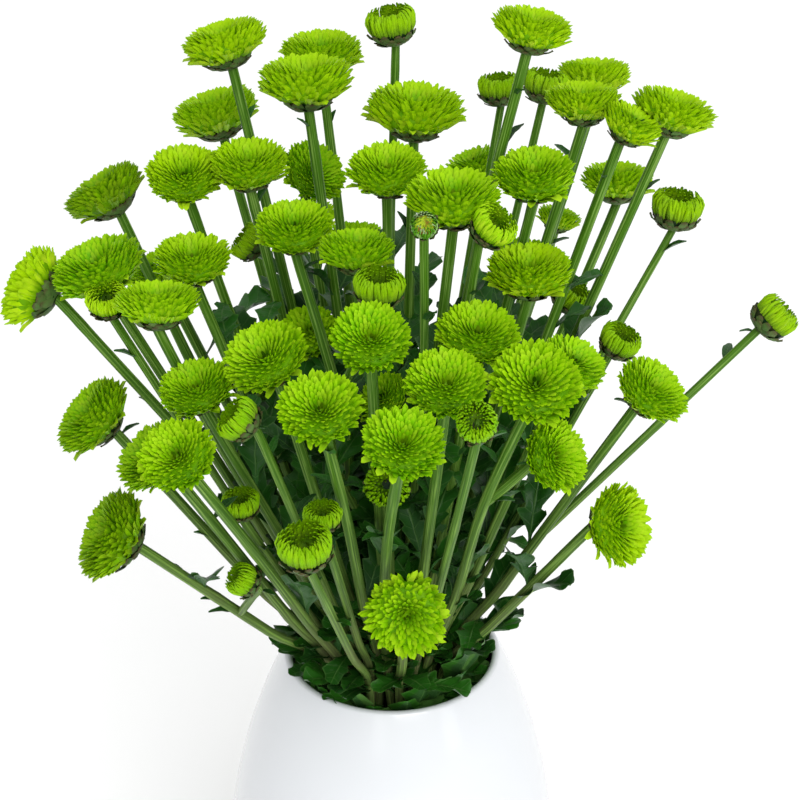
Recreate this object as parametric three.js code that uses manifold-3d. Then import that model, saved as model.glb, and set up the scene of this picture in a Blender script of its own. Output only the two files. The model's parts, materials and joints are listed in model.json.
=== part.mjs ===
// A bunch of pompon chrysanthemums: ten cut sprays standing in water in a white glazed vase.
// Millimetres, +Z up. The origin is the centre of the vase's flat foot, -Y is the front.
import * as THREE from 'three';
import { mergeVertices } from 'three/addons/utils/BufferGeometryUtils.js';
import Module from 'manifold-3d';

const wasm = await Module();
wasm.setup();

// ---------------------------------------------------------------- driving dimensions

const SEAT_GAP = 0.3;         // between a head and the calyx that it sits on
const CALYX_SINK = 0.4;       // how deep a half-open head grows out of its calyx

const VASE = {
  height: 205,
  bellyRadius: 80,
  bellyHeight: 94,
  upperReach: 167,    // how far above the belly the upper curve would close
  lowerReach: 140,    // how far below the belly the lower curve would close
  curve: 1.6,         // exponent of both curves: 2 is an ellipse
  wall: 4.6,
  floor: 12,
  footEdge: 2.5,
  sides: 24,
};

const WATER = { top: 105, holeRadius: 4.2, holeSides: 6 };

const STEM = {
  mainFoot: 3.3,      // radius of a spray's main stem where it stands
  mainTop: 2.7,
  mainSides: 5,
  side: 2.2,          // radius of the side stem under an open head
  sideSmall: 1.8,     // and under a half-open head or a bud
  sides: 5,
  forkTop: 150,       // height where the topmost side stem leaves the main stem
  forkStep: 5,
  footSpread: 1.25,
  neck: 5,            // the last stretch, which points the way the head faces
};

// A leaf's outline: half its width at each share of its length, both over the length.
const LEAF = {
  thickness: 0.8,
  bend: 40,           // degrees that it bends over from root to tip
  outline: [[0.12, 0.03], [0.36, 0.25], [0.47, 0.13], [0.64, 0.29], [0.77, 0.14], [1, 0]],
};

const FOCUS = 155;            // height of the point that the side stems fan out from
const MOUTH_REACH = 41;       // furthest that a stem leans out in the mouth
const MOUTH_SPACING = 7;
const STEM_CLEARANCE = 1.0;
const LEVEL_STEP = 8;
const SETTLE_ROUNDS = 160;

// Head forms, as fractions of the head's width. Each ring is [tip radius, tip height,
// valley radius, valley height]; the first lies on the calyx and the last number is
// the height of the middle. "centre" is the height of the head's visual centre.
const FORMS = {
  open: {
    florets: 7, centre: 0.17, calyx: 0.25, middle: 0.34,
    rings: [[0.20, 0, 0.20, 0], [0.51, 0.19, 0.42, 0.14], [0.49, 0.34, 0.38, 0.29],
      [0.28, 0.43, 0.20, 0.39]],
  },
  small: {
    florets: 6, centre: 0.17, calyx: 0.25, middle: 0.35,
    rings: [[0.20, 0, 0.20, 0], [0.50, 0.20, 0.43, 0.16], [0.48, 0.34, 0.39, 0.30],
      [0.28, 0.43, 0.21, 0.40]],
  },
  cup: {
    florets: 6, centre: 0.17, calyx: 0.36, middle: 0.34,
    rings: [[0.28, 0, 0.28, 0], [0.47, 0.22, 0.44, 0.20], [0.48, 0.54, 0.42, 0.47],
      [0.25, 0.42, 0.22, 0.41]],
  },
  bud: {
    florets: 6, centre: 0.20, calyx: 0.40, middle: 0.58,
    rings: [[0.30, 0, 0.30, 0], [0.50, 0.24, 0.47, 0.22], [0.45, 0.63, 0.37, 0.57]],
  },
};

// Every head of every spray: [across, back, up, width, form, lean, bearing, fork].
// The lean is from upright, towards the bearing (0 is +X, 90 is the back), in degrees.
// A fork [stem, height] makes it a branch of that stem of its spray.
const SPRAYS = {
  a: [
    [-123, 30, 422, 36, 'open', 30, 175],
    [-87, 16, 435, 33, 'open', 22, -90],
    [-60, 15, 440, 33, 'open', 12, -90],
    [-62, 30, 399, 18, 'cup', 52, 180],
    [-121, -15, 406, 39, 'open', 18, -160],
    [-82, -15, 410, 32, 'open', 10, -90],
    [-105, 40, 381, 27, 'small', 25, -170],
  ],
  b: [
    [-115, -35, 401, 18, 'cup', 22, -100],
    [-150, -8, 395, 37, 'open', 68, 165, [0, 322]],
    [-92, -55, 409, 33, 'open', 8, 90],
    [-125, -30, 345, 36, 'open', 44, -165],
    [-115, -65, 308, 39, 'open', 56, -165],
    [-61, -75, 293, 15, 'bud', 50, -160, [4, 252]],
    [-92, -94, 362, 31, 'open', 42, -160],
    [-62, -65, 323, 17, 'cup', 8, -130],
  ],
  c: [
    [-80, -112, 373, 30, 'open', 36, -115],
    [-57, -100, 382, 19, 'cup', 48, -175],
    [-48, -82, 399, 33, 'open', 30, -130],
    [-26, -120, 397, 31, 'open', 30, -95],
    [-27, -100, 339, 16, 'cup', 8, -110],
    [-33, -118, 336, 23, 'cup', 10, -120],
    [-77, -66, 377, 30, 'open', 20, -125],
  ],
  d: [
    [6, -92, 288, 34, 'open', 66, -90],
    [4, -138, 393, 30, 'open', 28, -80],
    [30, -142, 404, 16, 'cup', 42, -100],
    [-2, -78, 341, 20, 'cup', 60, -90],
    [20, -108, 401, 31, 'open', 24, -90],
    [33, -72, 404, 32, 'open', 18, -80],
  ],
  e: [
    [53, -105, 400, 34, 'open', 34, -90],
    [63, -85, 358, 29, 'open', 58, -45, [0, 330]],
    [91, -75, 320, 34, 'open', 68, -40],
    [70, -70, 390, 28, 'small', 28, -30],
    [56, -25, 409, 35, 'open', 6, -90],
    [103, -60, 373, 31, 'open', 33, -30],
    [163, 0, 377, 20, 'bud', 46, 0, [5, 290]],
  ],
  f: [
    [97, -5, 368, 19, 'cup', 28, -25],
    [99, 18, 457, 27, 'small', 26, -12],
    [58, -5, 443, 34, 'open', 12, -100],
    [81, 35, 461, 32, 'open', 2, 90],
    [119, 34, 457, 35, 'open', 15, 5],
    [81, 50, 364, 20, 'cup', 34, -20],
    [130, 70, 398, 25, 'cup', 7, 10],
  ],
  g: [
    [108, 115, 394, 35, 'open', 6, 90],
    [81, 120, 373, 22, 'small', 15, 20],
    [94, 110, 448, 34, 'open', 8, 90],
    [40, 125, 398, 29, 'small', 20, 180],
    [50, 110, 442, 21, 'cup', 5, 150],
    [70, 140, 340, 40, 'open', 45, 70],
    [68, 75, 455, 21, 'cup', 8, 20],
  ],
  h: [
    [-46, 120, 370, 39, 'open', 40, 110],
    [-20, 150, 344, 40, 'open', 50, 95],
    [-32, 105, 460, 37, 'open', 3, -90],
    [-36, 70, 416, 30, 'open', 44, -50],
    [-82, 110, 430, 41, 'open', 14, 170],
    [-106, 85, 348, 38, 'open', 45, 140],
    [0, 60, 487, 23, 'cup', 10, -170],
  ],
  i: [
    [-71, 50, 482, 36, 'open', 15, 175],
    [-36, 35, 470, 40, 'open', 3, 180],
    [10, 35, 457, 41, 'open', 4, -20],
    [56, 10, 500, 32, 'open', 11, 0],
    [-2, -5, 445, 33, 'open', 13, -90],
    [-40, -15, 424, 32, 'open', 14, -90],
  ],
  j: [
    [-35, -10, 375, 25, 'small', 38, -90],
    [-14, -35, 423, 31, 'open', 5, 90],
    [24, -40, 447, 37, 'open', 6, -90],
    [38, -56, 442, 19, 'cup', 37, -30],
    [-3, -50, 364, 24, 'small', 45, -150],
    [-8, -90, 411, 31, 'open', 29, -90],
    [12, -75, 451, 11, 'bud', 50, -90],
    [-5, -62, 419, 21, 'cup', 4, -60],
  ],
};

// Neighbouring heads that are pressed into each other.
const PRESSED = [
  ['a2', 'a3'], ['a5', 'b1'], ['f2', 'f4', 'f5'], ['j3', 'j4'],
];

// The true leaves: [stem, height on it, bearing, rise above level, length].
const LEAVES = [
  ['a7', 340, 20, 60, 42],
  ['b4', 208, -100, 45, 34], ['b5', 270, -80, 60, 34],
  ['c1', 256, -100, 78, 42], ['c4', 222, -140, 60, 42], ['c5', 208, -120, 45, 34],
  ['c6', 208, -160, 45, 34],
  ['d1', 208, -20, 30, 34], ['d2', 300, -100, 78, 34], ['d3', 208, -120, 45, 34],
  ['d6', 285, -120, 78, 34],
  ['e3', 208, -40, 60, 34], ['e3', 256, -40, 60, 42], ['e3', 270, -120, 78, 34],
  ['e4', 256, -80, 78, 42], ['e6', 214, -20, 60, 42],
  ['f5', 340, -20, 78, 42],
  ['h2', 244, -20, 78, 34], ['h3', 340, 140, 60, 34],
  ['i3', 340, 60, 78, 34],
];

// ---------------------------------------------------------------- solids

const lerp = (a, b, t) => a.map((v, k) => v * (1 - t) + b[k] * t);
const radians = THREE.MathUtils.degToRad;

function solid(points, faces) {
  const mesh = new wasm.Mesh({
    numProp: 3,
    vertProperties: new Float32Array(points.flat()),
    triVerts: new Uint32Array(faces.flat()),
  });
  return new wasm.Manifold(mesh);
}

function solidOf(geometry) {
  geometry.deleteAttribute('normal');
  geometry.deleteAttribute('uv');
  const merged = mergeVertices(geometry, 1e-3);
  const mesh = new wasm.Mesh({
    numProp: 3,
    vertProperties: new Float32Array(merged.attributes.position.array),
    triVerts: new Uint32Array(merged.index.array),
  });
  return new wasm.Manifold(mesh);
}

const joined = (solids) => solids.reduce((sum, next) => sum.add(next));

function geometryOf(body) {
  const mesh = body.getMesh();
  const geometry = new THREE.BufferGeometry();
  geometry.setAttribute('position', new THREE.BufferAttribute(mesh.vertProperties, 3));
  geometry.setIndex(new THREE.BufferAttribute(mesh.triVerts, 1));
  return geometry;
}

// Rings of points, each with as many, closed by a fan at either end. "crossed" says
// which of the four-cornered patches between two rings are split the other way.
function skin(rings, bottom, top, crossed = () => false) {
  const n = rings[0].length;
  const points = [...rings.flat(), bottom, top];
  const faces = [];
  for (let k = 0; k < n; k++) {
    const next = (k + 1) % n;
    for (let r = 0; r + 1 < rings.length; r++) {
      const a = r * n;
      const b = a + n;
      if (crossed(r, k)) faces.push([a + k, a + next, b + k], [a + next, b + next, b + k]);
      else faces.push([a + k, a + next, b + next], [a + k, b + next, b + k]);
    }
    const last = (rings.length - 1) * n;
    faces.push([next, k, points.length - 2], [last + k, last + next, points.length - 1]);
  }
  return solid(points, faces);
}

// A round tube along a path, with its own radius at each point of the path.
function tube(path, radii, sides) {
  const at = path.map((p) => new THREE.Vector3(...p));
  const side = new THREE.Vector3(1, 0, 0);
  const rings = at.map((p, k) => {
    const along = at[Math.min(k + 1, at.length - 1)].clone().sub(at[Math.max(k - 1, 0)]).normalize();
    side.addScaledVector(along, -side.dot(along)).normalize();
    const across = new THREE.Vector3().crossVectors(along, side);
    return Array.from({ length: sides }, (_, s) => {
      const turn = (2 * Math.PI * s) / sides;
      return p.clone()
        .addScaledVector(side, radii[k] * Math.cos(turn))
        .addScaledVector(across, radii[k] * Math.sin(turn))
        .toArray();
    });
  });
  return skin(rings, path[0], path[path.length - 1]);
}

// ---------------------------------------------------------------- vase and water

function vaseRadius(z) {
  const reach = z > VASE.bellyHeight ? VASE.upperReach : VASE.lowerReach;
  const t = Math.abs(z - VASE.bellyHeight) / reach;
  return VASE.bellyRadius * (1 - t ** VASE.curve) ** (1 / VASE.curve);
}

const lathe = (profile) => new THREE.LatheGeometry(
  profile.map(([r, z]) => new THREE.Vector2(r, z)), VASE.sides).rotateX(Math.PI / 2);

function vase() {
  const outside = [24, 56, 94, 128, 158, 182, 198].map((z) => [vaseRadius(z), z]);
  const lip = vaseRadius(VASE.height);
  const inside = [186, 146, WATER.top, 74, 36].map((z) => [vaseRadius(z) - VASE.wall, z]);
  const foot = vaseRadius(0);
  return solidOf(lathe([
    [0, 0], [foot - VASE.footEdge, 0], [foot, VASE.footEdge],
    ...outside, [lip - 0.3, VASE.height - 1.6], [lip - 2.2, VASE.height],
    [lip - VASE.wall + 0.4, VASE.height - 1.8],
    ...inside, [vaseRadius(VASE.floor) - VASE.wall - 6, VASE.floor], [0, VASE.floor],
  ]));
}

function water(mainStems) {
  const gap = SEAT_GAP + 0.1;
  const bed = VASE.floor + gap;
  const wall = (z) => vaseRadius(z) - VASE.wall - gap;
  const body = solidOf(lathe([
    [0, bed], [vaseRadius(VASE.floor) - VASE.wall - 6 - gap, bed],
    ...[36, 74, WATER.top].map((z) => [wall(z) - 0.4, z]), [0, WATER.top],
  ]));
  return mainStems.reduce((left, [foot, top]) => {
    const from = lerp(foot, top, -0.1);
    const hole = tube([from, top], [WATER.holeRadius, WATER.holeRadius], WATER.holeSides);
    return left.subtract(hole);
  }, body);
}

// ---------------------------------------------------------------- heads

function headFacing(lean, bearing) {
  const [tilt, turn] = [radians(lean), radians(bearing)];
  return [Math.sin(tilt) * Math.cos(turn), Math.sin(tilt) * Math.sin(turn), Math.cos(tilt)];
}

// Tiers of floret tips with valleys between them, each tier turned half a floret.
function headSolid(head) {
  const form = FORMS[head.form];
  const turn = new THREE.Quaternion().setFromUnitVectors(
    new THREE.Vector3(0, 0, 1), new THREE.Vector3(...head.facing));
  const lift = head.loose ? SEAT_GAP : -CALYX_SINK;
  const place = (radius, angle, height) => new THREE.Vector3(
    radius * Math.cos(angle) * head.width, radius * Math.sin(angle) * head.width,
    height * head.width + lift)
    .applyQuaternion(turn).add(new THREE.Vector3(...head.seat)).toArray();
  const count = 2 * form.florets;
  const isTip = (tier, k) => (k + tier) % 2 === 1;
  const rings = form.rings.map(([tip, tipHeight, valley, valleyHeight], tier) =>
    Array.from({ length: count }, (_, k) => {
      const angle = (2 * Math.PI * (k + head.turn)) / count;
      return isTip(tier, k) ? place(tip, angle, tipHeight) : place(valley, angle, valleyHeight);
    }));
  return skin(rings, place(0, 0, 0), place(0, 0, form.middle), isTip);
}

// ---------------------------------------------------------------- laying out the stems

function listHeads() {
  const heads = [];
  for (const [spray, rows] of Object.entries(SPRAYS)) {
    const first = heads.length;
    for (const [x, y, z, width, form, lean, bearing, fork] of rows) {
      const facing = headFacing(lean, bearing);
      const centre = [x, y, z];
      const seat = centre.map((v, k) => v - facing[k] * width * FORMS[form].centre);
      const neck = seat.map((v, k) => v - facing[k] * STEM.neck);
      const radius = form === 'open' || form === 'small' ? STEM.side : STEM.sideSmall;
      const name = `${spray}${heads.length - first + 1}`;
      heads.push({
        spray, name, centre, width, form, facing, seat, neck, radius,
        loose: form === 'open' || form === 'small' || PRESSED.flat().includes(name),
        turn: (heads.length * 0.37) % 1,
        parent: fork ? first + fork[0] : -1, forkHeight: fork ? fork[1] : VASE.height,
      });
    }
  }
  return heads;
}

// Where a stem's polyline is at a height, as [knot, share of the next knot].
function stretch(knots, z) {
  let k = 0;
  while (k < knots.length - 2 && z >= knots[k + 1][2]) k++;
  return [k, (z - knots[k][2]) / (knots[k + 1][2] - knots[k][2])];
}

// The stems fan out from one point below the mouth. In the mouth they are moved apart
// to an even spacing, inside the reach that leaves the lip clear.
function spreadInMouth(heads) {
  const free = heads.filter((h) => h.parent < 0);
  for (const h of free) {
    const t = (VASE.height - FOCUS) / (h.neck[2] - FOCUS);
    const r = Math.hypot(h.neck[0], h.neck[1]) * t;
    const pull = t / (1 + (r / MOUTH_REACH) ** 4) ** 0.25;
    h.mouth = [h.neck[0] * pull, h.neck[1] * pull];
  }
  for (let round = 0; round < 200; round++) {
    const moves = free.map((a) => {
      const move = [0, 0];
      for (const b of free) {
        if (a === b) continue;
        const d = [a.mouth[0] - b.mouth[0], a.mouth[1] - b.mouth[1]];
        const gap = Math.hypot(...d);
        const push = Math.max(MOUTH_SPACING - gap, 0) * 0.35 / gap;
        move[0] += push * d[0];
        move[1] += push * d[1];
      }
      return move;
    });
    free.forEach((h, k) => {
      const p = [h.mouth[0] + moves[k][0], h.mouth[1] + moves[k][1]];
      const scale = Math.min(1, MOUTH_REACH / Math.hypot(...p));
      h.mouth = [p[0] * scale, p[1] * scale];
    });
  }
}

// Each stem is a polyline of four knots from the mouth, or from its fork, to its neck.
// At every level the stems push each other and the heads push the stems, sideways.
function settleStems(heads) {
  for (const h of heads) {
    const foot = h.parent < 0 ? [...h.mouth, VASE.height] : [0, 0, h.forkHeight];
    h.knots = [foot, lerp(foot, h.neck, 1 / 3), lerp(foot, h.neck, 2 / 3), [...h.neck]];
  }
  const follow = (h) => {
    const parent = heads[h.parent].knots;
    const [k, t] = stretch(parent, h.forkHeight);
    h.knots[0] = lerp(parent[k], parent[k + 1], t);
  };
  const branches = heads.filter((h) => h.parent >= 0);
  for (const h of branches) {
    follow(h);
    h.knots[1] = lerp(h.knots[0], h.neck, 1 / 3);
    h.knots[2] = lerp(h.knots[0], h.neck, 2 / 3);
  }
  const top = Math.max(...heads.map((h) => h.centre[2]));
  const levels = [];
  for (let z = VASE.height; z < top; z += LEVEL_STEP) levels.push(z);
  const places = levels.map((z) => heads.map((h) => (
    z >= h.knots[0][2] && z < h.neck[2] ? stretch(h.knots, z) : null)));
  for (let round = 0; round < SETTLE_ROUNDS; round++) {
    const thick = heads.map((h) => {
      const slopes = [0, 1, 2].map((k) => {
        const d = h.knots[k + 1].map((v, c) => v - h.knots[k][c]);
        return Math.hypot(...d) / d[2];
      });
      return h.radius * Math.max(...slopes);
    });
    const move = heads.map(() => [[0, 0], [0, 0], [0, 0]]);
    const weight = heads.map(() => [1, 1, 1]);
    levels.forEach((z, level) => {
      const here = heads.map((h, i) => {
        const place = places[level][i];
        return place && lerp(h.knots[place[0]], h.knots[place[0] + 1], place[1]);
      });
      heads.forEach((h, i) => {
        if (!here[i]) return;
        const push = [0, 0];
        const shove = (from, need, share) => {
          const d = [here[i][0] - from[0], here[i][1] - from[1]];
          const gap = Math.hypot(...d) + 1e-9;
          const by = Math.max(need - gap, 0) * share / gap;
          push[0] += by * d[0];
          push[1] += by * d[1];
        };
        heads.forEach((other, j) => {
          if (i === j) return;
          const forked = h.parent === j || other.parent === i;
          if (here[j] && !forked) shove(here[j], thick[i] + thick[j] + STEM_CLEARANCE, 0.5);
          const reach = (other.width / 2 + 1.2) ** 2 - (z - other.centre[2]) ** 2;
          if (reach > 0) {
            shove(other.centre, Math.sqrt(reach) + thick[i] + STEM_CLEARANCE / 2, 1);
          }
        });
        const strong = Math.hypot(...push) > 1e-6 ? 1 : 0;
        const [k, t] = places[level][i];
        for (const [knot, part] of [[k, 1 - t], [k + 1, t]]) {
          if (knot > 2) continue;
          move[i][knot][0] += part * push[0];
          move[i][knot][1] += part * push[1];
          weight[i][knot] += part * strong;
        }
      });
    });
    heads.forEach((h, i) => {
      for (let k = h.parent < 0 ? 0 : 1; k < 3; k++) {
        h.knots[k][0] += 0.8 * move[i][k][0] / weight[i][k];
        h.knots[k][1] += 0.8 * move[i][k][1] / weight[i][k];
      }
      if (round < SETTLE_ROUNDS * 0.6) {
        for (const k of [1, 2]) {
          const straight = lerp(h.knots[0], h.knots[3], k / 3);
          h.knots[k][0] += 0.03 * (straight[0] - h.knots[k][0]);
          h.knots[k][1] += 0.03 * (straight[1] - h.knots[k][1]);
        }
      }
      if (h.parent < 0) {
        const scale = Math.min(1, MOUTH_REACH / Math.hypot(h.knots[0][0], h.knots[0][1]));
        h.knots[0][0] *= scale;
        h.knots[0][1] *= scale;
      }
    });
    branches.forEach(follow);
  }
}

// ---------------------------------------------------------------- leaves

// A lobed blade on a short stalk that grows out of the middle of its stem. It bends over
// along its length, and its two faces are flat from one station to the next.
function leafSolid(stem, height, bearing, rise, length) {
  const [knot, t] = stretch(stem.knots, height);
  const turn = radians(bearing);
  const out = new THREE.Vector3(Math.cos(turn), Math.sin(turn), 0);
  const side = new THREE.Vector3(-Math.sin(turn), Math.cos(turn), 0);
  const root = lerp(stem.knots[knot], stem.knots[knot + 1], t);
  const rings = [];
  let at = new THREE.Vector3(...root);
  let last = 0;
  for (const [share, half] of LEAF.outline) {
    const angle = radians(rise - LEAF.bend * (share + last) / 2);
    const along = out.clone().multiplyScalar(Math.cos(angle)).setZ(Math.sin(angle));
    at = at.clone().addScaledVector(along, (share - last) * length);
    last = share;
    const up = new THREE.Vector3().crossVectors(along, side);
    const corner = (across, above) => at.clone()
      .addScaledVector(side, across * half * length)
      .addScaledVector(up, above * LEAF.thickness / 2).toArray();
    rings.push([corner(-1, -1), corner(1, -1), corner(1, 1), corner(-1, 1)]);
  }
  const tip = rings.pop()[0];
  return skin(rings, root, tip);
}

// ---------------------------------------------------------------- sprays

function mainStem(stems) {
  const rooted = stems.filter((h) => h.parent < 0);
  const middle = [0, 1].map((c) => rooted.reduce((sum, h) => sum + h.knots[0][c], 0) / rooted.length);
  const foot = [...middle.map((v) => v * STEM.footSpread), VASE.floor + SEAT_GAP];
  return [foot, [...middle, STEM.forkTop]];
}

function sideStem(head, root) {
  const start = root ? [root, ...head.knots] : head.knots;
  const radii = start.map(() => head.radius);
  if (!root) radii[0] *= 0.9;
  const calyx = FORMS[head.form].calyx * head.width;
  return tube([...start, head.seat], [...radii, calyx], STEM.sides);
}

function spraySolid(stems, main) {
  const [foot, top] = main;
  const pieces = [tube([foot, top], [STEM.mainFoot, STEM.mainTop], STEM.mainSides)];
  let fork = 0;
  for (const h of stems) {
    let root = null;
    if (h.parent < 0) {
      const height = STEM.forkTop - 1 - STEM.forkStep * fork++;
      root = lerp(foot, top, (height - foot[2]) / (top[2] - foot[2]));
    }
    pieces.push(sideStem(h, root));
    if (!h.loose) pieces.push(headSolid(h));
    for (const [, ...placing] of LEAVES.filter(([stem]) => stem === h.name)) {
      pieces.push(leafSolid(h, ...placing));
    }
  }
  return joined(pieces);
}

// ---------------------------------------------------------------- the object

const COLOURS = {
  vase: { color: 0xf2f4f5, roughness: 0.12, metalness: 0 },
  water: { color: 0xdfe9ea, roughness: 0.05, metalness: 0 },
  stems: { color: 0x3f6f2b, roughness: 0.55, metalness: 0 },
  head: { color: 0x8cc41e, roughness: 0.6, metalness: 0 },
};

const bunch = new THREE.Group();

function addPiece(name, body, finish) {
  const mesh = new THREE.Mesh(geometryOf(body), new THREE.MeshStandardMaterial(COLOURS[finish]));
  mesh.name = name;
  bunch.add(mesh);
}

const heads = listHeads();
spreadInMouth(heads);
settleStems(heads);
const lime = heads.filter((h) => h.loose);
const pressedWith = (h) => PRESSED.find((names) => names.includes(h.name)) ?? [h.name];

const mains = Object.keys(SPRAYS).map((spray) => mainStem(heads.filter((h) => h.spray === spray)));
addPiece('vase', vase(), 'vase');
addPiece('water', water(mains), 'water');
Object.keys(SPRAYS).forEach((spray, k) => {
  addPiece(`spray_${spray}_stems`, spraySolid(heads.filter((h) => h.spray === spray), mains[k]), 'stems');
});
for (const head of lime) {
  const names = pressedWith(head);
  if (names[0] !== head.name) continue;
  const together = lime.filter((h) => names.includes(h.name));
  addPiece(`head_${names.join('_')}`, joined(together.map(headSolid)), 'head');
}

export default bunch;
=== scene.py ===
"""A bunch of lime pompon chrysanthemums in a white glazed vase: its looks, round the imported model.

Sizes are in millimetres until a mesh is written, which is in metres. The heads, the forks and
the way the stems are pushed clear of each other are the same as in the part's own source.
"""

import json
import math

import bpy
import numpy as np
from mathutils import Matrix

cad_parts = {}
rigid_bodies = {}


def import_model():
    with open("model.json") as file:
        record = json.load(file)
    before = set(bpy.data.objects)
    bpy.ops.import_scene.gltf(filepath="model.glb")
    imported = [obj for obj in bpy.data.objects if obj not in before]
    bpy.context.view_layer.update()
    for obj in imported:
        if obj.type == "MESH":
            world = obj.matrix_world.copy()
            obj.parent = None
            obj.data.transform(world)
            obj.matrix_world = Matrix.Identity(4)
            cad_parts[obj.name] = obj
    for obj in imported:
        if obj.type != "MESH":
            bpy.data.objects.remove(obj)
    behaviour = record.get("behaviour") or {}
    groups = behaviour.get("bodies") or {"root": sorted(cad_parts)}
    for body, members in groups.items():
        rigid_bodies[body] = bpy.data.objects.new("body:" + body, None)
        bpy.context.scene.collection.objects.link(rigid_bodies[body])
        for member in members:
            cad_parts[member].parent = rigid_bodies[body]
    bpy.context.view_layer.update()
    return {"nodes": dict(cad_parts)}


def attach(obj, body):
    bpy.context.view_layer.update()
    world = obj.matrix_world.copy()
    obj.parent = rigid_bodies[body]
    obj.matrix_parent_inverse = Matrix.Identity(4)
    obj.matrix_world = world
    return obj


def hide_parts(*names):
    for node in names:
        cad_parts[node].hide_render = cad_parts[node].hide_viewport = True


bl_info = {
    "name": "Pompon Chrysanthemum Bunch",
    "version": (1, 0, 0),
    "blender": (4, 5, 0),
    "location": "View3D > Sidebar > Bunch",
    "description": "Builds a bunch of pompon chrysanthemums in a glazed vase",
    "category": "Object",
}

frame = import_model()

MM = 0.001
UP = np.array([0, 0, 1.0])
GOLDEN_ANGLE = math.pi * (3 - math.sqrt(5))

# -------- shared driving dimensions

SEAT_GAP = 0.3
CALYX_SINK = 0.4
NECK = 5.0
VASE_HEIGHT = 205.0
VASE_FLOOR = 12.0
VASE_WALL = 4.6
BELLY_RADIUS = 80.0
BELLY_HEIGHT = 94.0
UPPER_REACH = 167.0
LOWER_REACH = 140.0
VASE_CURVE = 1.6
STEM_RADIUS = 2.2
SMALL_STEM_RADIUS = 1.8
MAIN_FOOT_RADIUS = 3.3
MAIN_TOP_RADIUS = 2.7
FORK_TOP = 150.0
FORK_STEP = 5.0
FOOT_SPREAD = 1.25
FOCUS = 155.0
MOUTH_REACH = 41.0
MOUTH_SPACING = 7.0
SPREAD_ROUNDS = 200
SPREAD_SHARE = 0.35
STEM_CLEARANCE = 1.0
HEAD_MARGIN = 1.2
LEVEL_STEP = 8.0
SETTLE_ROUNDS = 160
SETTLE_SHARE = 0.8
# A stem is drawn back to a straight line by this much in each of the first rounds.
STRAIGHTEN = 0.03
STRAIGHTEN_ROUNDS = 0.6 * SETTLE_ROUNDS

# Height of each form's visual centre and radius of its calyx, over the head's width.
CENTRE = {"open": 0.17, "small": 0.17, "cup": 0.17, "bud": 0.20}
CALYX = {"open": 0.25, "small": 0.25, "cup": 0.36, "bud": 0.40}

# Every head of every spray: across, back, up, width, form, lean, bearing and, for a branch,
# the stem of its spray that it leaves and the height of that fork.
SPRAYS = {
    "a": [
        (-123, 30, 422, 36, "open", 30, 175), (-87, 16, 435, 33, "open", 22, -90),
        (-60, 15, 440, 33, "open", 12, -90), (-62, 30, 399, 18, "cup", 52, 180),
        (-121, -15, 406, 39, "open", 18, -160), (-82, -15, 410, 32, "open", 10, -90),
        (-105, 40, 381, 27, "small", 25, -170)],
    "b": [
        (-115, -35, 401, 18, "cup", 22, -100), (-150, -8, 395, 37, "open", 68, 165, 0, 322),
        (-92, -55, 409, 33, "open", 8, 90), (-125, -30, 345, 36, "open", 44, -165),
        (-115, -65, 308, 39, "open", 56, -165), (-61, -75, 293, 15, "bud", 50, -160, 4, 252),
        (-92, -94, 362, 31, "open", 42, -160), (-62, -65, 323, 17, "cup", 8, -130)],
    "c": [
        (-80, -112, 373, 30, "open", 36, -115), (-57, -100, 382, 19, "cup", 48, -175),
        (-48, -82, 399, 33, "open", 30, -130), (-26, -120, 397, 31, "open", 30, -95),
        (-27, -100, 339, 16, "cup", 8, -110), (-33, -118, 336, 23, "cup", 10, -120),
        (-77, -66, 377, 30, "open", 20, -125)],
    "d": [
        (6, -92, 288, 34, "open", 66, -90), (4, -138, 393, 30, "open", 28, -80),
        (30, -142, 404, 16, "cup", 42, -100), (-2, -78, 341, 20, "cup", 60, -90),
        (20, -108, 401, 31, "open", 24, -90), (33, -72, 404, 32, "open", 18, -80)],
    "e": [
        (53, -105, 400, 34, "open", 34, -90), (63, -85, 358, 29, "open", 58, -45, 0, 330),
        (91, -75, 320, 34, "open", 68, -40), (70, -70, 390, 28, "small", 28, -30),
        (56, -25, 409, 35, "open", 6, -90), (103, -60, 373, 31, "open", 33, -30),
        (163, 0, 377, 20, "bud", 46, 0, 5, 290)],
    "f": [
        (97, -5, 368, 19, "cup", 28, -25), (99, 18, 457, 27, "small", 26, -12),
        (58, -5, 443, 34, "open", 12, -100), (81, 35, 461, 32, "open", 2, 90),
        (119, 34, 457, 35, "open", 15, 5), (81, 50, 364, 20, "cup", 34, -20),
        (130, 70, 398, 25, "cup", 7, 10)],
    "g": [
        (108, 115, 394, 35, "open", 6, 90), (81, 120, 373, 22, "small", 15, 20),
        (94, 110, 448, 34, "open", 8, 90), (40, 125, 398, 29, "small", 20, 180),
        (50, 110, 442, 21, "cup", 5, 150), (70, 140, 340, 40, "open", 45, 70),
        (68, 75, 455, 21, "cup", 8, 20)],
    "h": [
        (-46, 120, 370, 39, "open", 40, 110), (-20, 150, 344, 40, "open", 50, 95),
        (-32, 105, 460, 37, "open", 3, -90), (-36, 70, 416, 30, "open", 44, -50),
        (-82, 110, 430, 41, "open", 14, 170), (-106, 85, 348, 38, "open", 45, 140),
        (0, 60, 487, 23, "cup", 10, -170)],
    "i": [
        (-71, 50, 482, 36, "open", 15, 175), (-36, 35, 470, 40, "open", 3, 180),
        (10, 35, 457, 41, "open", 4, -20), (56, 10, 500, 32, "open", 11, 0),
        (-2, -5, 445, 33, "open", 13, -90), (-40, -15, 424, 32, "open", 14, -90)],
    "j": [
        (-35, -10, 375, 25, "small", 38, -90), (-14, -35, 423, 31, "open", 5, 90),
        (24, -40, 447, 37, "open", 6, -90), (38, -56, 442, 19, "cup", 37, -30),
        (-3, -50, 364, 24, "small", 45, -150), (-8, -90, 411, 31, "open", 29, -90),
        (12, -75, 451, 11, "bud", 50, -90), (-5, -62, 419, 21, "cup", 4, -60)],
}
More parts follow.
